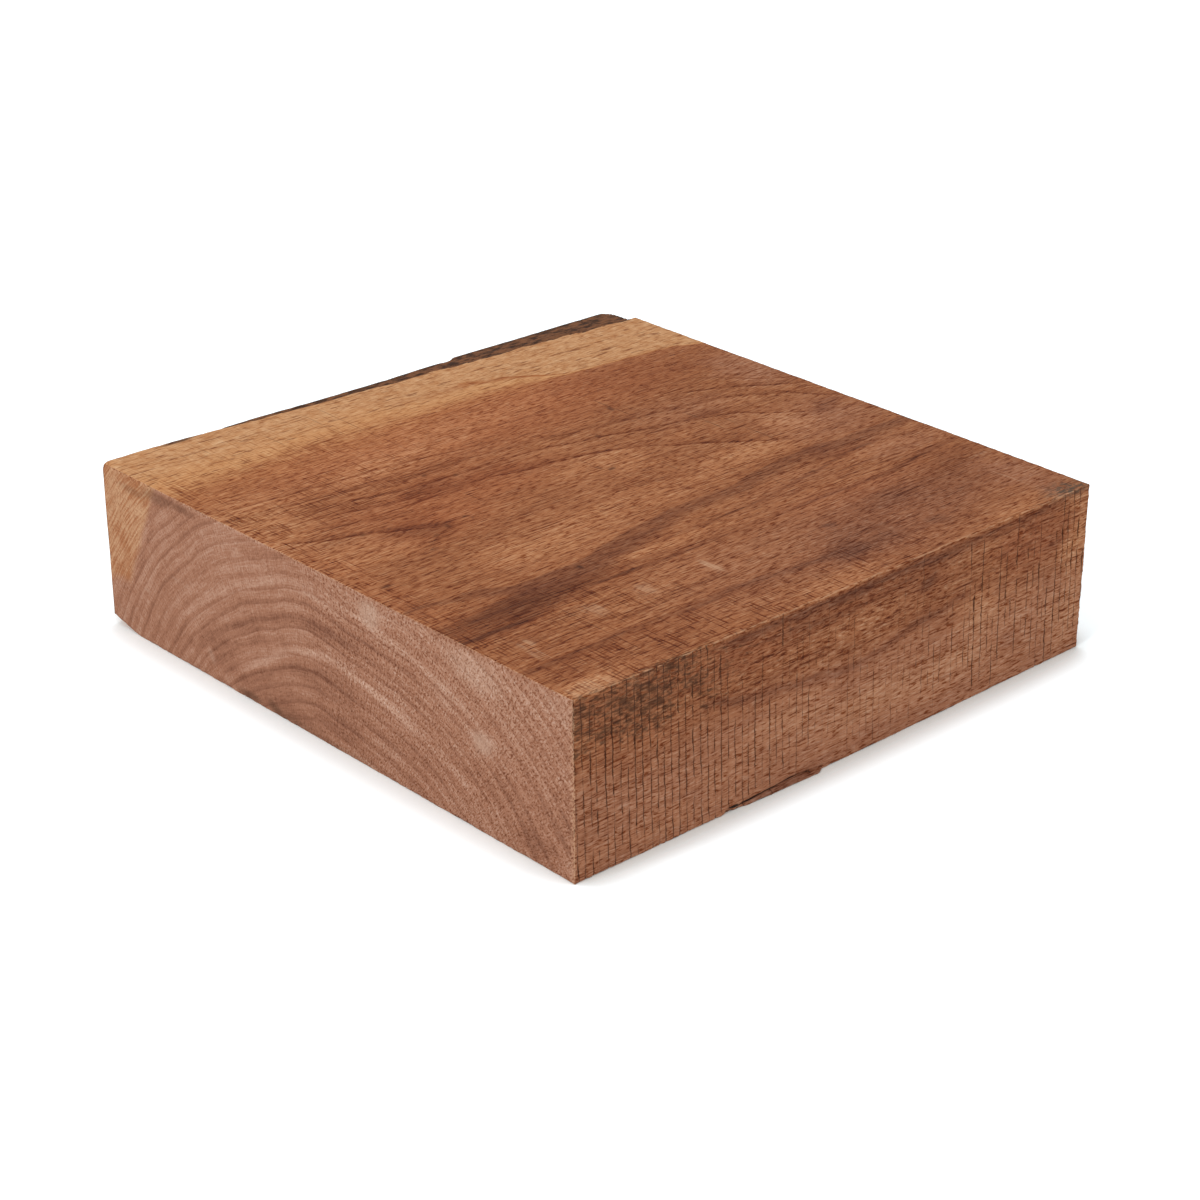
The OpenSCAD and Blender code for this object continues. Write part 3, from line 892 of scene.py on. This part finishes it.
def barks(u, v, z, on_back):
    """1 where the surface is bark."""
    edge = -0.3 - 0.5 * ramp(95, 104, u) + 0.7 * noise(u / 6, 0, 0, 99)
    band = np.where(z > HEIGHT - 0.5, ramp(edge, edge + 0.4, behind_bark_line(u, v)) * still_barked(u, v), 0)
    band = band * ramp(BARK_START + 8, BARK_START + 16, u)
    return np.where(on_back, np.maximum(is_bark_on_back(u, z), band), band)


def crack_distance(u, z):
    """How far a point of the front is from the splinter's crack and from the deepest part of the nick, where
    shade is painted.
    """
    near_splinter = ramp(SPLINTER_START - 4, SPLINTER_START + 2, u)
    near_splinter *= ramp(SPLINTER_TIP + 1, SPLINTER_TIP - 3, u)
    from_crack = np.abs(z - crack_height(u) + 4 * (1 - near_splinter))
    from_nick = np.hypot(0.35 * (u - NICK_MIDDLE - 1.5), 1.5 * (z - NICK_SIZE - 0.3)) - 0.55
    return np.minimum(from_crack, np.maximum(from_nick, 0))


def looks(board, flags):
    """Every field that the materials read, one number for each point."""
    u, v, z = board.T
    top, on_front, on_left = flags[:, TOP], flags[:, FRONT_FACE], u < 0.01
    step = 0.4
    radius = np.where(top, top_radius(u, v), ring_radius(u, v, z))
    top_change = top_radius(u, v + step) - top_radius(u, v - step)
    side_change = ring_radius(u, v, z + step) - ring_radius(u, v, z - step)
    across = np.where(top, top_change, side_change) / (2 * step)
    ring_width = np.interp(radius, (np.array(RING_ENDS[1:]) + RING_ENDS[:-1]) / 2, np.diff(RING_ENDS))
    front_mark = np.interp(straightened(u, z), mark_places, np.arange(len(mark_places)))
    top_mark = np.interp(wandered(u, v), scratch_grid, np.arange(len(scratch_grid)))
    groove_shade_and_wear = np.where(top, 0.8 * scratch_strength(u, v), 0)
    groove_shade_and_wear = np.where(on_front, np.clip(mark_strength(u, z), 0, 1.5) * ramp(0.4, 1.8, u), groove_shade_and_wear)
    # The pale edge, partly a painted highlight, is twice as strong on the vertical edge between the front and
    # the left end
    vertical_edge = 1 + (u + v < 0.5)
    end_scuffs = np.where(u < 1, toned(END_SCUFFS, v, z, 0.5), 0)
    fields = {
        "ring": np.interp(radius, RING_ENDS, np.arange(len(RING_ENDS))),
        "spacing": ring_width / np.clip(np.abs(across), 0.15, 2),
        "radius": radius,
        "round": around_pith(u, v, z),
        "along": u,
        "tone": tones(u, v, z),
        "sap": np.where(flags[:, LEFT_END] & ~top, end_sap_depth(v, z), sap_depth(u, v, z)),
        "rim": through(RIM_STRENGTH, u),
        "streak": streak_depth(u, v, z),
        "streak_strength": through(STREAK_STRENGTH, u),
        "grime": weathering(u, v, z),
        "stain": stained(u, v, z),
        "emphasis": ring_emphasis(u, v, z) * np.interp(radius, RING_ENDS, RING_STRENGTHS),
        "mark": np.where(on_front, front_mark, top_mark),
        "groove_shade_and_wear": groove_shade_and_wear,
        "crack": np.where(on_front, crack_distance(u, z), NO_CRACK),
        "scuff": np.where(top, toned(SCUFFS, u, v, 0.35), end_scuffs),
        # The pale edge, partly a painted highlight, also runs onto the left end beside the front
        "edge_wear_and_highlight": np.maximum((flags.sum(1) > 1) * vertical_edge, ramp(2.2, 0.4, v) * on_left),
        "bark": barks(u, v, z, flags[:, BACK_FACE]),
    }
    sides = side_looks(u, v, z)
    for name, (least, most, patches) in TOP_LOOKS.items():
        fields[name] = np.clip(np.where(z > HEIGHT - 1, least + toned(patches, u, v), sides[name]), 0, most)
    return fields


# ---------------------------------------------------------------- materials
def colour(red, green, blue):
    """A colour given as it shows on screen, from 0 to 255, as linear light."""
    def linear(c):
        c /= 255
        return c / 12.92 if c <= 0.04045 else ((c + 0.055) / 1.055) ** 2.4
    return (linear(red), linear(green), linear(blue), 1.0)


# What a colour is multiplied by where the surface is darker or lighter than the rest
SHADE = colour(184, 143, 98)
GLINT = (1.18, 1.4, 1.62, 1.0)

HEART_DARK = colour(96, 50, 28)
HEART_BROWN = colour(143, 85, 51)
HEART_TAN = colour(170, 110, 71)
HEART_LIGHT = colour(198, 141, 98)
HEART_RED = colour(176, 100, 60)
HEART_PINK = colour(167, 120, 97)
HEART_ORANGE = colour(174, 108, 62)
STREAK = colour(108, 61, 40)
PORE = colour(66, 32, 17)
SAP_PALE = colour(206, 157, 113)
SAP_TAN = colour(188, 132, 86)
SAP_ORANGE = colour(201, 143, 93)
SAP_PORE = colour(130, 76, 42)
SAP_RIM = colour(164, 97, 52)
SCUFF = colour(200, 162, 132)
# Pale edges: partly worn, partly a painted highlight
WORN_EDGE_AND_HIGHLIGHT = colour(194, 151, 118)
SMEAR = colour(178, 146, 126)
GRIME = colour(66, 41, 25)
STAIN = colour(84, 70, 58)
# Painted shade in the grooves of the saw marks and in the scratches
GROOVE_SHADE = colour(64, 37, 24)
# Painted shade in the splinter's crack and the nick
CRACK_SHADE = colour(40, 24, 17)
BARK_BROWN = colour(126, 83, 55)
BARK_DARK = colour(62, 40, 28)
END_DARK = colour(116, 72, 52)
END_BROWN = colour(160, 112, 87)
END_LIGHT = colour(191, 152, 130)
END_SAP_TAN = colour(162, 104, 64)
END_SAP_PALE = colour(194, 150, 113)

# The fine saw lines across the grain: their distance apart in mm, and how unevenly they lie
COMB_PITCH = 1.22
COMB_SWAY = 14.0
WOOD_SHINE = 0.18


class Wire:
    """What one output of a node carries, so that sums can be written the usual way."""

    def __init__(self, graph, socket):
        self.graph = graph
        self.socket = socket

    def __add__(self, other):
        return self.graph.math("ADD", self, other)

    def __sub__(self, other):
        return self.graph.math("SUBTRACT", self, other)

    def __rsub__(self, other):
        return self.graph.math("SUBTRACT", other, self)

    def __mul__(self, other):
        return self.graph.math("MULTIPLY", self, other)

    def swing(self, amount):
        """A noise from 0 to 1, moved to lie round 0 and to span amount."""
        return self * amount - amount / 2

    def smooth(self, start, end, low=0.0, high=1.0):
        """Goes smoothly from low to high as this goes from start to end."""
        values = {"Value": self, "From Min": start, "From Max": end, "To Min": low, "To Max": high}
        return self.graph.node("ShaderNodeMapRange", values, interpolation_type="SMOOTHSTEP")


class Graph:
    """The nodes of a material or world, added one after another, and the base colour so far."""

    def __init__(self, owner):
        owner.use_nodes = True
        self.owner = owner
        self.tree = owner.node_tree
        self.tree.nodes.clear()
        self.base = None

    def node(self, kind, values=(), out=0, **settings):
        """Adds a node. Each value is set on its socket, or linked to it if it is a Wire."""
        new = self.tree.nodes.new(kind)
        for key, setting in settings.items():
            setattr(new, key, setting)
        for socket, value in dict(values).items():
            if isinstance(value, Wire):
                self.tree.links.new(value.socket, new.inputs[socket])
            else:
                new.inputs[socket].default_value = value
        return Wire(self, new.outputs[out]) if len(new.outputs) else None

    def math(self, operation, a, b=0.0):
        """One step of arithmetic on Wires or numbers."""
        return self.node("ShaderNodeMath", {0: a, 1: b}, operation=operation)

    def mix(self, factor, a, b, blend="MIX"):
        """Colour a where factor is 0, and b blended with it where factor is 1."""
        return self.node("ShaderNodeMix", {0: factor, 6: a, 7: b}, 2, data_type="RGBA", blend_type=blend)

    def field(self, name):
        """One of the numbers written on the mesh's points."""
        return self.node("ShaderNodeAttribute", out="Fac", attribute_name=name)

    def place(self):
        """Coordinates in the frame, in metres."""
        return self.node("ShaderNodeTexCoord", out="Object")

    def wood(self):
        """Coordinates that follow the wood, in mm: out through the rings, round them, and along the grain."""
        values = {0: self.field("radius"), 1: self.field("round"), 2: self.field("along")}
        return self.node("ShaderNodeCombineXYZ", values)

    def noise(self, space, x, y, z, detail=2.0, roughness=0.5):
        """Noise from 0 to 1, with its own scale along each direction of space."""
        scaled = self.node("ShaderNodeVectorMath", {0: space, 1: (x, y, z)}, operation="MULTIPLY")
        values = {"Vector": scaled, "Scale": 1.0, "Detail": detail, "Roughness": roughness}
        return self.node("ShaderNodeTexNoise", values)

    def ramp(self, factor, stops):
        """Sets the base colour from factor. Stops are (place, colour)."""
        self.base = self.node("ShaderNodeValToRGB", {0: factor})
        elements = self.base.socket.node.color_ramp.elements
        while len(elements) < len(stops):
            elements.new(0.5)
        for element, (place, shade) in zip(elements, stops):
            element.position = place
            element.color = shade

    def paint(self, layer, amount):
        """Lays a colour over the base colour."""
        self.base = self.mix(amount, self.base, layer)

    def darken(self, amount):
        """Makes the base colour darker and a little redder."""
        self.base = self.mix(amount, self.base, SHADE, "MULTIPLY")

    def lighten(self, amount):
        """Makes the base colour lighter and a little paler."""
        self.base = self.mix(amount, self.base, GLINT, "MULTIPLY")

    def finish(self, rough, height, strength, distance):
        """The surface itself, from its base colour, roughness and relief."""
        relief = self.node("ShaderNodeBump", {"Height": height, "Strength": strength, "Distance": distance})
        values = {"Base Color": self.base, "Roughness": rough, "Normal": relief,
                  "Specular IOR Level": WOOD_SHINE}
        surface = self.node("ShaderNodeBsdfPrincipled", values)
        self.node("ShaderNodeOutputMaterial", {"Surface": surface})
        return self.owner


def ring_lines(g, wood):
    """A dark line at the start of each growth ring, and the share of the ring passed, from 0 to 1."""
    wander = g.noise(wood, 0.6, 0.35, 0.09, detail=3).swing(0.7)
    share = g.math("FRACT", g.field("ring") + g.math("DIVIDE", wander, g.field("spacing")))
    passed = share * g.field("spacing")
    return passed.smooth(2.0, 0.3) * passed.smooth(0.0, 0.2), share


def comb_lines(g, place):
    """Fine saw lines straight across the grain, nearly evenly spaced: low on a line, high between lines."""
    sway = g.noise(place, 60, 25, 25) * COMB_SWAY
    wave = g.math("SINE", g.field("along") * (2 * math.pi / COMB_PITCH) + sway)
    return g.noise(place, 900, 90, 90) * 0.75 + (wave * 0.07 + 0.125)


def long_grain():
    """Sawn faces along the grain: heartwood, sapwood, streak, pores, saw marks, weathering and bark."""
    g = Graph(bpy.data.materials.new("walnut_long_grain"))
    wood, place = g.wood(), g.place()
    line, share = ring_lines(g, wood)
    emphasis = g.field("emphasis")

    # Broad bands, clouds and fine fibres
    fibre = g.noise(place, 40, 1600, 1600, detail=1, roughness=0.6)
    tone = g.field("tone") * 0.42 + 0.48
    tone = tone + g.noise(wood, 0.35, 0.05, 0.006, detail=3).swing(0.2)
    tone = tone + fibre.swing(0.24)
    tone = tone + g.noise(wood, 0.12, 0.12, 0.04, detail=3).swing(0.2)
    g.ramp(tone, [(0.0, HEART_DARK), (0.34, HEART_BROWN), (0.62, HEART_TAN), (1.0, HEART_LIGHT)])
    g.paint(HEART_RED, g.field("red") * 0.4)
    g.paint(HEART_PINK, g.field("blush") * 0.4)

    # Growth rings, each its own strength
    dashed = g.noise(wood, 0.8, 0.8, 0.3, detail=3).smooth(0.38, 0.62, 0.1, 1.3)
    g.darken(share.smooth(0.6, 0.0) * emphasis * 0.2)
    g.lighten(share.smooth(0.6, 0.95) * emphasis * 0.25)
    g.darken(line * emphasis * dashed * 0.75)

    # Heart streak: a sharp edge at the back, fading to the front, broken up along the grain
    broken = g.noise(wood, 0.9, 0.5, 0.05, detail=3).smooth(0.25, 0.62, 0.6, 1.0)
    far = g.field("streak")
    band = far.smooth(0.0, 0.12) * far.smooth(1.25, 0.6)
    g.paint(STREAK, band * g.field("streak_strength") * broken * 0.74)

    # Sapwood, with an orange zone and a darker rim where it fades into the heartwood
    comb, combed = comb_lines(g, place), g.field("comb")
    depth = g.field("sap") + g.noise(wood, 0.4, 0.4, 0.06, detail=4).swing(0.5)
    depth = depth + (comb - 0.5) * (combed * 0.9)
    inside = depth.smooth(-0.2, 0.5)
    mottle = g.noise(wood, 0.5, 0.5, 0.3, detail=4, roughness=0.65)
    sap = g.mix(mottle.smooth(0.3, 0.7), SAP_TAN, SAP_PALE)
    sap = g.mix(depth.smooth(1.1, 0.2, 0.0, 0.85), sap, SAP_ORANGE)
    sap = g.mix(g.noise(place, 130, 750, 750).smooth(0.6, 0.7, 0.0, 0.8), sap, SAP_PORE)
    g.paint(HEART_ORANGE, depth.smooth(-0.8, 0.0, 0.0, 0.4))
    g.paint(sap, inside)
    rim = depth.smooth(0.55, 0.9) * depth.smooth(1.15, 0.98) * g.field("rim")
    beaded = g.noise(place, 160, 260, 260).smooth(0.36, 0.58, 0.55, 1.1)
    g.paint(SAP_RIM, rim * beaded * 0.75)

    # Torn fibres: larger pale flakes, with painted shade in the gaps between them
    flakes, torn = g.noise(place, 380, 1500, 1500, roughness=0.6), g.field("torn")
    g.lighten(flakes.smooth(0.52, 0.66, 0.0, 0.9) * torn)
    g.darken(flakes.smooth(0.47, 0.34, 0.0, 0.8) * torn)

    # Pores: dark dashes along the grain, with paler ones between them
    lively = (1.0 - g.field("calm") * 0.5) * (1.0 - inside * 0.5)
    dashes = g.noise(place, 150, 2000, 2000, detail=1)
    pores = dashes.smooth(0.56, 0.7) * lively
    g.darken(pores * 0.62)
    g.lighten(dashes.smooth(0.43, 0.31, 0.0, 0.4) * lively)

    # Long thin strands along the grain, in groups and broken by the saw lines, and longer hairlines
    cuts = comb.smooth(0.49, 0.36) * combed
    strands = g.noise(place, 45, 1500, 1500, detail=1)
    groups = g.noise(wood, 0.3, 0.3, 0.02).smooth(0.36, 0.6, 0.3, 1.1)
    groups = groups * g.field("strand") * (1.0 - inside * 0.55)
    dark_strands = strands.smooth(0.56, 0.68)
    g.darken(dark_strands * (groups * (cuts * 0.7 + 0.8)))
    g.lighten(strands.smooth(0.43, 0.33, 0.0, 0.5) * groups)
    hairs = g.math("ABSOLUTE", g.noise(place, 18, 700, 700, detail=1) - 0.5).smooth(0.03, 0.0)
    g.darken(hairs * g.noise(place, 60, 400, 400).smooth(0.44, 0.6) * (1.0 - inside * 0.4))

    # The lines across the grain, broken up
    scratches = cuts * g.noise(place, 150, 260, 260, detail=3).smooth(0.36, 0.6) * (1.0 - inside * 0.4)
    g.darken(scratches * 0.8)
    g.lighten(comb.smooth(0.56, 0.7) * combed * 0.5)

    # Grit of the rough surface
    grit = g.noise(place, 360, 2000, 2000, detail=1)
    rubbed = inside * -0.45 + 1.0
    g.lighten(grit.smooth(0.54, 0.7) * rubbed)
    g.darken(grit.smooth(0.46, 0.3) * rubbed)

    # Pale scuffs and dark spots
    scuff = g.field("scuff")
    scuffed = (scuff * g.noise(place, 700, 90, 90).smooth(0.3, 0.68, 0.2, 1.2)).smooth(0.0, 1.1)
    g.lighten(scuffed * 0.8)
    g.paint(SCUFF, scuffed * 0.3)
    g.paint(PORE, scuff.smooth(-0.1, -1.0, 0.0, 0.85))

    # Weathering in blotches, and the stain
    blotch = g.noise(place, 420, 800, 800, detail=4, roughness=0.7)
    speck = g.noise(place, 500, 1400, 1400, roughness=0.6)
    g.paint(GRIME, (speck * 1.6 + (blotch * 1.5 + g.field("grime"))).smooth(1.9, 2.6) * 0.8)
    g.paint(STAIN, g.field("stain") * blotch.smooth(0.4, 0.6, 0.15, 0.95))

    # Painted shade in the saw marks and scratches, pale worn scratches, painted shade in the splinter's crack
    # and the nick, and pale edges that are partly worn and partly a painted highlight
    from_mark = g.math("PINGPONG", g.field("mark"), 0.5) * MARK_PITCH
    groove_shade_and_wear = from_mark.smooth(0.25, 0.04) * g.field("groove_shade_and_wear")
    # Painted shade in the saw marks and scratches; where the strength is below 0, pale worn scratches instead
    g.paint(GROOVE_SHADE, groove_shade_and_wear.smooth(0.0, 0.9, 0.0, 0.85))
    g.paint(SCUFF, groove_shade_and_wear.smooth(0.0, -0.8, 0.0, 0.7))
    # Painted shade in the splinter's crack and the nick
    g.paint(CRACK_SHADE, g.field("crack").smooth(0.28, 0.08))
    # Pale edges: partly worn, partly a painted highlight
    g.paint(WORN_EDGE_AND_HIGHLIGHT, g.field("edge_wear_and_highlight") * grit.smooth(0.38, 0.6) * 0.7)

    # Bark
    ridge = g.noise(place, 260, 700, 700, detail=4, roughness=0.65)
    barked = g.field("bark").smooth(0.3, 0.7)
    g.paint(g.mix(ridge.smooth(0.36, 0.62), BARK_DARK, BARK_BROWN), barked)

    height = fibre * 0.5 - pores * 0.35 - scratches * 0.5 - dark_strands * groups * 0.5
    height = height + grit * 0.6 + flakes * torn * 0.8 + ridge * barked * 2.0
    return g.finish(fibre.smooth(0.2, 0.8, 0.72, 0.88), height, 0.6, 0.0004)


def end_grain():
    """Sawn ends: arcs of the growth rings, fine rays across them, pores as dots."""
    g = Graph(bpy.data.materials.new("walnut_end_grain"))
    wood, place = g.wood(), g.place()
    line, share = ring_lines(g, wood)
    emphasis = g.field("emphasis")

    # Rings and rays, and cloudy patches
    fine_bands = g.noise(wood, 1.2, 0.05, 0.02, roughness=0.6)
    rays = g.noise(wood, 0.12, 1.4, 0.02, detail=1, roughness=0.6)
    late = share.smooth(0.7, 0.12) * share.smooth(0.0, 0.12)
    tone = g.field("tone") * 0.33 + 0.58
    tone = tone + g.noise(wood, 0.4, 0.03, 0.02, detail=3, roughness=0.6).swing(0.56)
    tone = tone + fine_bands.swing(0.42)
    tone = tone + rays.swing(0.45)
    tone = tone + g.noise(wood, 2.6, 0.22, 0.5, detail=1).swing(0.5)
    tone = tone + g.noise(place, 38, 38, 38, detail=3).swing(0.4)
    g.ramp(tone - late * emphasis * 0.2, [(0.0, END_DARK), (0.5, END_BROWN), (1.0, END_LIGHT)])
    g.paint(END_DARK, line * emphasis * 0.17)

    # Sapwood, streaked along the rings
    mottle = g.noise(place, 120, 120, 120, detail=4) + g.noise(wood, 1.6, 0.12, 0.3).swing(1.3)
    sap = g.mix(mottle.smooth(0.25, 0.75), END_SAP_TAN, END_SAP_PALE)
    g.paint(sap, g.field("sap").smooth(-0.15, 0.85, 0.0, 0.85))

    # Pores and grit, pale smears, grime, and pale edges that are partly worn and partly a painted highlight
    lively = 1.0 - g.field("calm") * 0.6
    pores = g.noise(place, 1600, 1500, 1500, detail=1).smooth(0.56, 0.68) * lively
    grit = g.noise(wood, 1.1, 2.0, 0.5, detail=1)
    g.darken(pores * 0.7)
    g.lighten(grit.smooth(0.54, 0.68, 0.0, 0.8) * lively)
    g.darken(grit.smooth(0.46, 0.32, 0.0, 0.75) * lively)
    g.paint(SMEAR, g.field("scuff").smooth(0.1, 1.0, 0.0, 0.55))
    g.paint(GRIME, g.field("grime") * 0.6)
    g.paint(WORN_EDGE_AND_HIGHLIGHT, g.field("edge_wear_and_highlight") * grit.smooth(0.4, 0.6) * 0.5)

    height = grit * 0.7 - pores * 0.6 + fine_bands * 0.35 + rays * 0.2
    return g.finish(grit.smooth(0.3, 0.7, 0.7, 0.85), height, 0.45, 0.0003)


# ---------------------------------------------------------------- the mesh
# Where each side lies on the piece's texture map: left, bottom, width and height of its rectangle
MAP_PLACES = {
    TOP: (0.005, 0.395, 0.595, 0.6),
    BOTTOM: (0.62, 0.62, 0.37, 0.375),
    FRONT_FACE: (0.005, 0.2, 0.72, 0.186),
    LEFT_END: (0.005, 0.005, 0.72, 0.182),
    BACK_FACE: (0.62, 0.5, 0.37, 0.1),
    RIGHT_END: (0.62, 0.4, 0.37, 0.09),
}


def map_share(side, u, v, z):
    """How far across and up its rectangle a point of one side lies."""
    along, across, up = u / LENGTH, v / WIDTH, z / HEIGHT
    return {
        TOP: (along, across),
        BOTTOM: (along, 1 - across),
        FRONT_FACE: (along, up),
        BACK_FACE: (1 - along, up),
        LEFT_END: (1 - across, up),
        RIGHT_END: (across, up),
    }[side]


def build_blank():
    """The whole dressed blank as one piece."""
    shell = build_shell()
    board = np.concatenate(shell.points)
    flags = np.concatenate(shell.flags)
    place = settle(board, flags) * MM
    sides = np.array(shell.sides)

    mesh = bpy.data.meshes.new(PIECE)
    mesh.from_pydata(place.tolist(), [], [[int(k) for k in p] for p in shell.polygons])
    mesh.polygons.foreach_set("use_smooth", np.ones(len(sides), bool))
    mesh.materials.append(long_grain())
    mesh.materials.append(end_grain())
    is_end = (sides == LEFT_END) | (sides == RIGHT_END)
    mesh.polygons.foreach_set("material_index", is_end.astype(np.int32))

    for name, values in looks(board, flags).items():
        attribute = mesh.attributes.new(name, "FLOAT", "POINT")
        attribute.data.foreach_set("value", values.astype(np.float32))

    corner_point = np.empty(len(mesh.loops), np.int32)
    mesh.loops.foreach_get("vertex_index", corner_point)
    sizes = np.array([len(p) for p in shell.polygons])
    corner_side = np.repeat(sides, sizes)
    spots = np.empty((len(corner_point), 2))
    for side, (x, y, width, height) in MAP_PLACES.items():
        on = corner_side == side
        across, up = map_share(side, *board[corner_point[on]].T)
        spots[on] = np.stack([x + width * across, y + height * up], 1)
    bake_map = mesh.uv_layers.new(name="OFBake")
    bake_map.data.foreach_set("uv", spots.ravel())
    mesh.validate()
    mesh.update()

    piece = bpy.data.objects.new(PIECE, mesh)
    bpy.context.scene.collection.objects.link(piece)
    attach(piece, "root")
    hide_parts("blank")
    return piece


# ---------------------------------------------------------------- floor, light and camera
FLOOR_SIZE = 8.0
# The floor's colour to the camera, and to everything else
FLOOR_WHITE = (1.40, 1.52, 1.58, 1)
FLOOR_GREY = (0.85, 0.85, 0.85, 1)
# The floor's shade against the blank: to its left, and in front of it
CONTACT_LEFT = (1.01, 1.055, 1.06, 1)
CONTACT_FRONT = (0.815, 0.835, 0.815, 1)
CONTACT_REACH = 0.016
SKY_COLOUR = (1.0, 0.99, 0.98, 1)
SKY_STRENGTH = 0.6
# Each lamp: its place and width in metres, and its watts
LAMPS = {
    "key": ((-1.25, -0.1, 0.9), 0.6, 9.5),
    "front": ((0.3, -1.3, 0.8), 0.9, 4.2),
    "top": ((0.0, 0.2, 1.6), 1.2, 3.4),
}
# The camera turns this far to the right, looks down this far, and aims at this point from this distance
VIEW_TURN = math.radians(42.17)
VIEW_DROP = math.radians(25.21)
VIEW_DISTANCE = 0.788
VIEW_AIM = (-0.0202, -0.0240, 0.0264)
VIEW_LENS = 82.27


def white_floor():
    """A matt floor that the camera sees as plain white, darkened close to the blank and in its shadow."""
    half = FLOOR_SIZE / 2
    mesh = bpy.data.meshes.new("floor")
    corners = [(-half, -half, 0), (half, -half, 0), (half, half, 0), (-half, half, 0)]
    mesh.from_pydata(corners, [], [(0, 1, 2, 3)])
    floor = bpy.data.objects.new("floor", mesh)
    bpy.context.scene.collection.objects.link(floor)
    g = Graph(bpy.data.materials.new("floor_white"))
    openness = g.node("ShaderNodeAmbientOcclusion", {"Distance": CONTACT_REACH}, "AO", samples=12)
    across = g.node("ShaderNodeSeparateXYZ", {0: g.place()}, "X")
    close = g.mix(across.smooth((LEFT - 1) * MM, (LEFT + 6) * MM), CONTACT_LEFT, CONTACT_FRONT)
    seen = g.mix(openness.smooth(0.5, 0.97), close, FLOOR_WHITE)
    shade = g.mix(g.node("ShaderNodeLightPath", out="Is Camera Ray"), FLOOR_GREY, seen)
    surface = g.node("ShaderNodeBsdfDiffuse", {"Color": shade})
    g.node("ShaderNodeOutputMaterial", {"Surface": surface})
    mesh.materials.append(g.owner)


def soft_world():
    """Even light from all round, with a plain white background for the camera."""
    world = bpy.data.worlds.new("studio")
    bpy.context.scene.world = world
    g = Graph(world)
    light = g.node("ShaderNodeBackground", {"Color": SKY_COLOUR, "Strength": SKY_STRENGTH})
    white = g.node("ShaderNodeBackground", {"Color": (1.0, 1.0, 1.0, 1.0), "Strength": 1.0})
    seen = g.node("ShaderNodeLightPath", out="Is Camera Ray")
    both = g.node("ShaderNodeMixShader", {0: seen, 1: light, 2: white})
    g.node("ShaderNodeOutputWorld", {"Surface": both})


def soft_lamp(name, place, size, watts):
    """A square lamp that faces the blank."""
    lamp = bpy.data.lights.new(name, "AREA")
    lamp.shape = "SQUARE"
    lamp.size = size
    lamp.energy = watts
    holder = bpy.data.objects.new(name, lamp)
    bpy.context.scene.collection.objects.link(holder)
    holder.location = place
    way = -np.array(place) / np.linalg.norm(place)
    holder.rotation_euler = (math.acos(-way[2]), 0, math.atan2(way[1], way[0]) - math.pi / 2)


def place_camera():
    """The camera at the photo's angle."""
    data = bpy.data.cameras.new("camera")
    data.sensor_width = 36.0
    data.lens = VIEW_LENS
    data.clip_start = 0.01
    camera = bpy.data.objects.new("camera", data)
    bpy.context.scene.collection.objects.link(camera)
    level = VIEW_DISTANCE * math.cos(VIEW_DROP)
    camera.location = (
        VIEW_AIM[0] - level * math.sin(VIEW_TURN),
        VIEW_AIM[1] - level * math.cos(VIEW_TURN),
        VIEW_AIM[2] + VIEW_DISTANCE * math.sin(VIEW_DROP),
    )
    camera.rotation_euler = (math.pi / 2 - VIEW_DROP, 0, -VIEW_TURN)
    bpy.context.scene.camera = camera


place_camera()
white_floor()
soft_world()
for name, (place, size, watts) in LAMPS.items():
    soft_lamp(name, place, size, watts)
build_blank()

bpy.context.scene.view_settings.view_transform = "Standard"
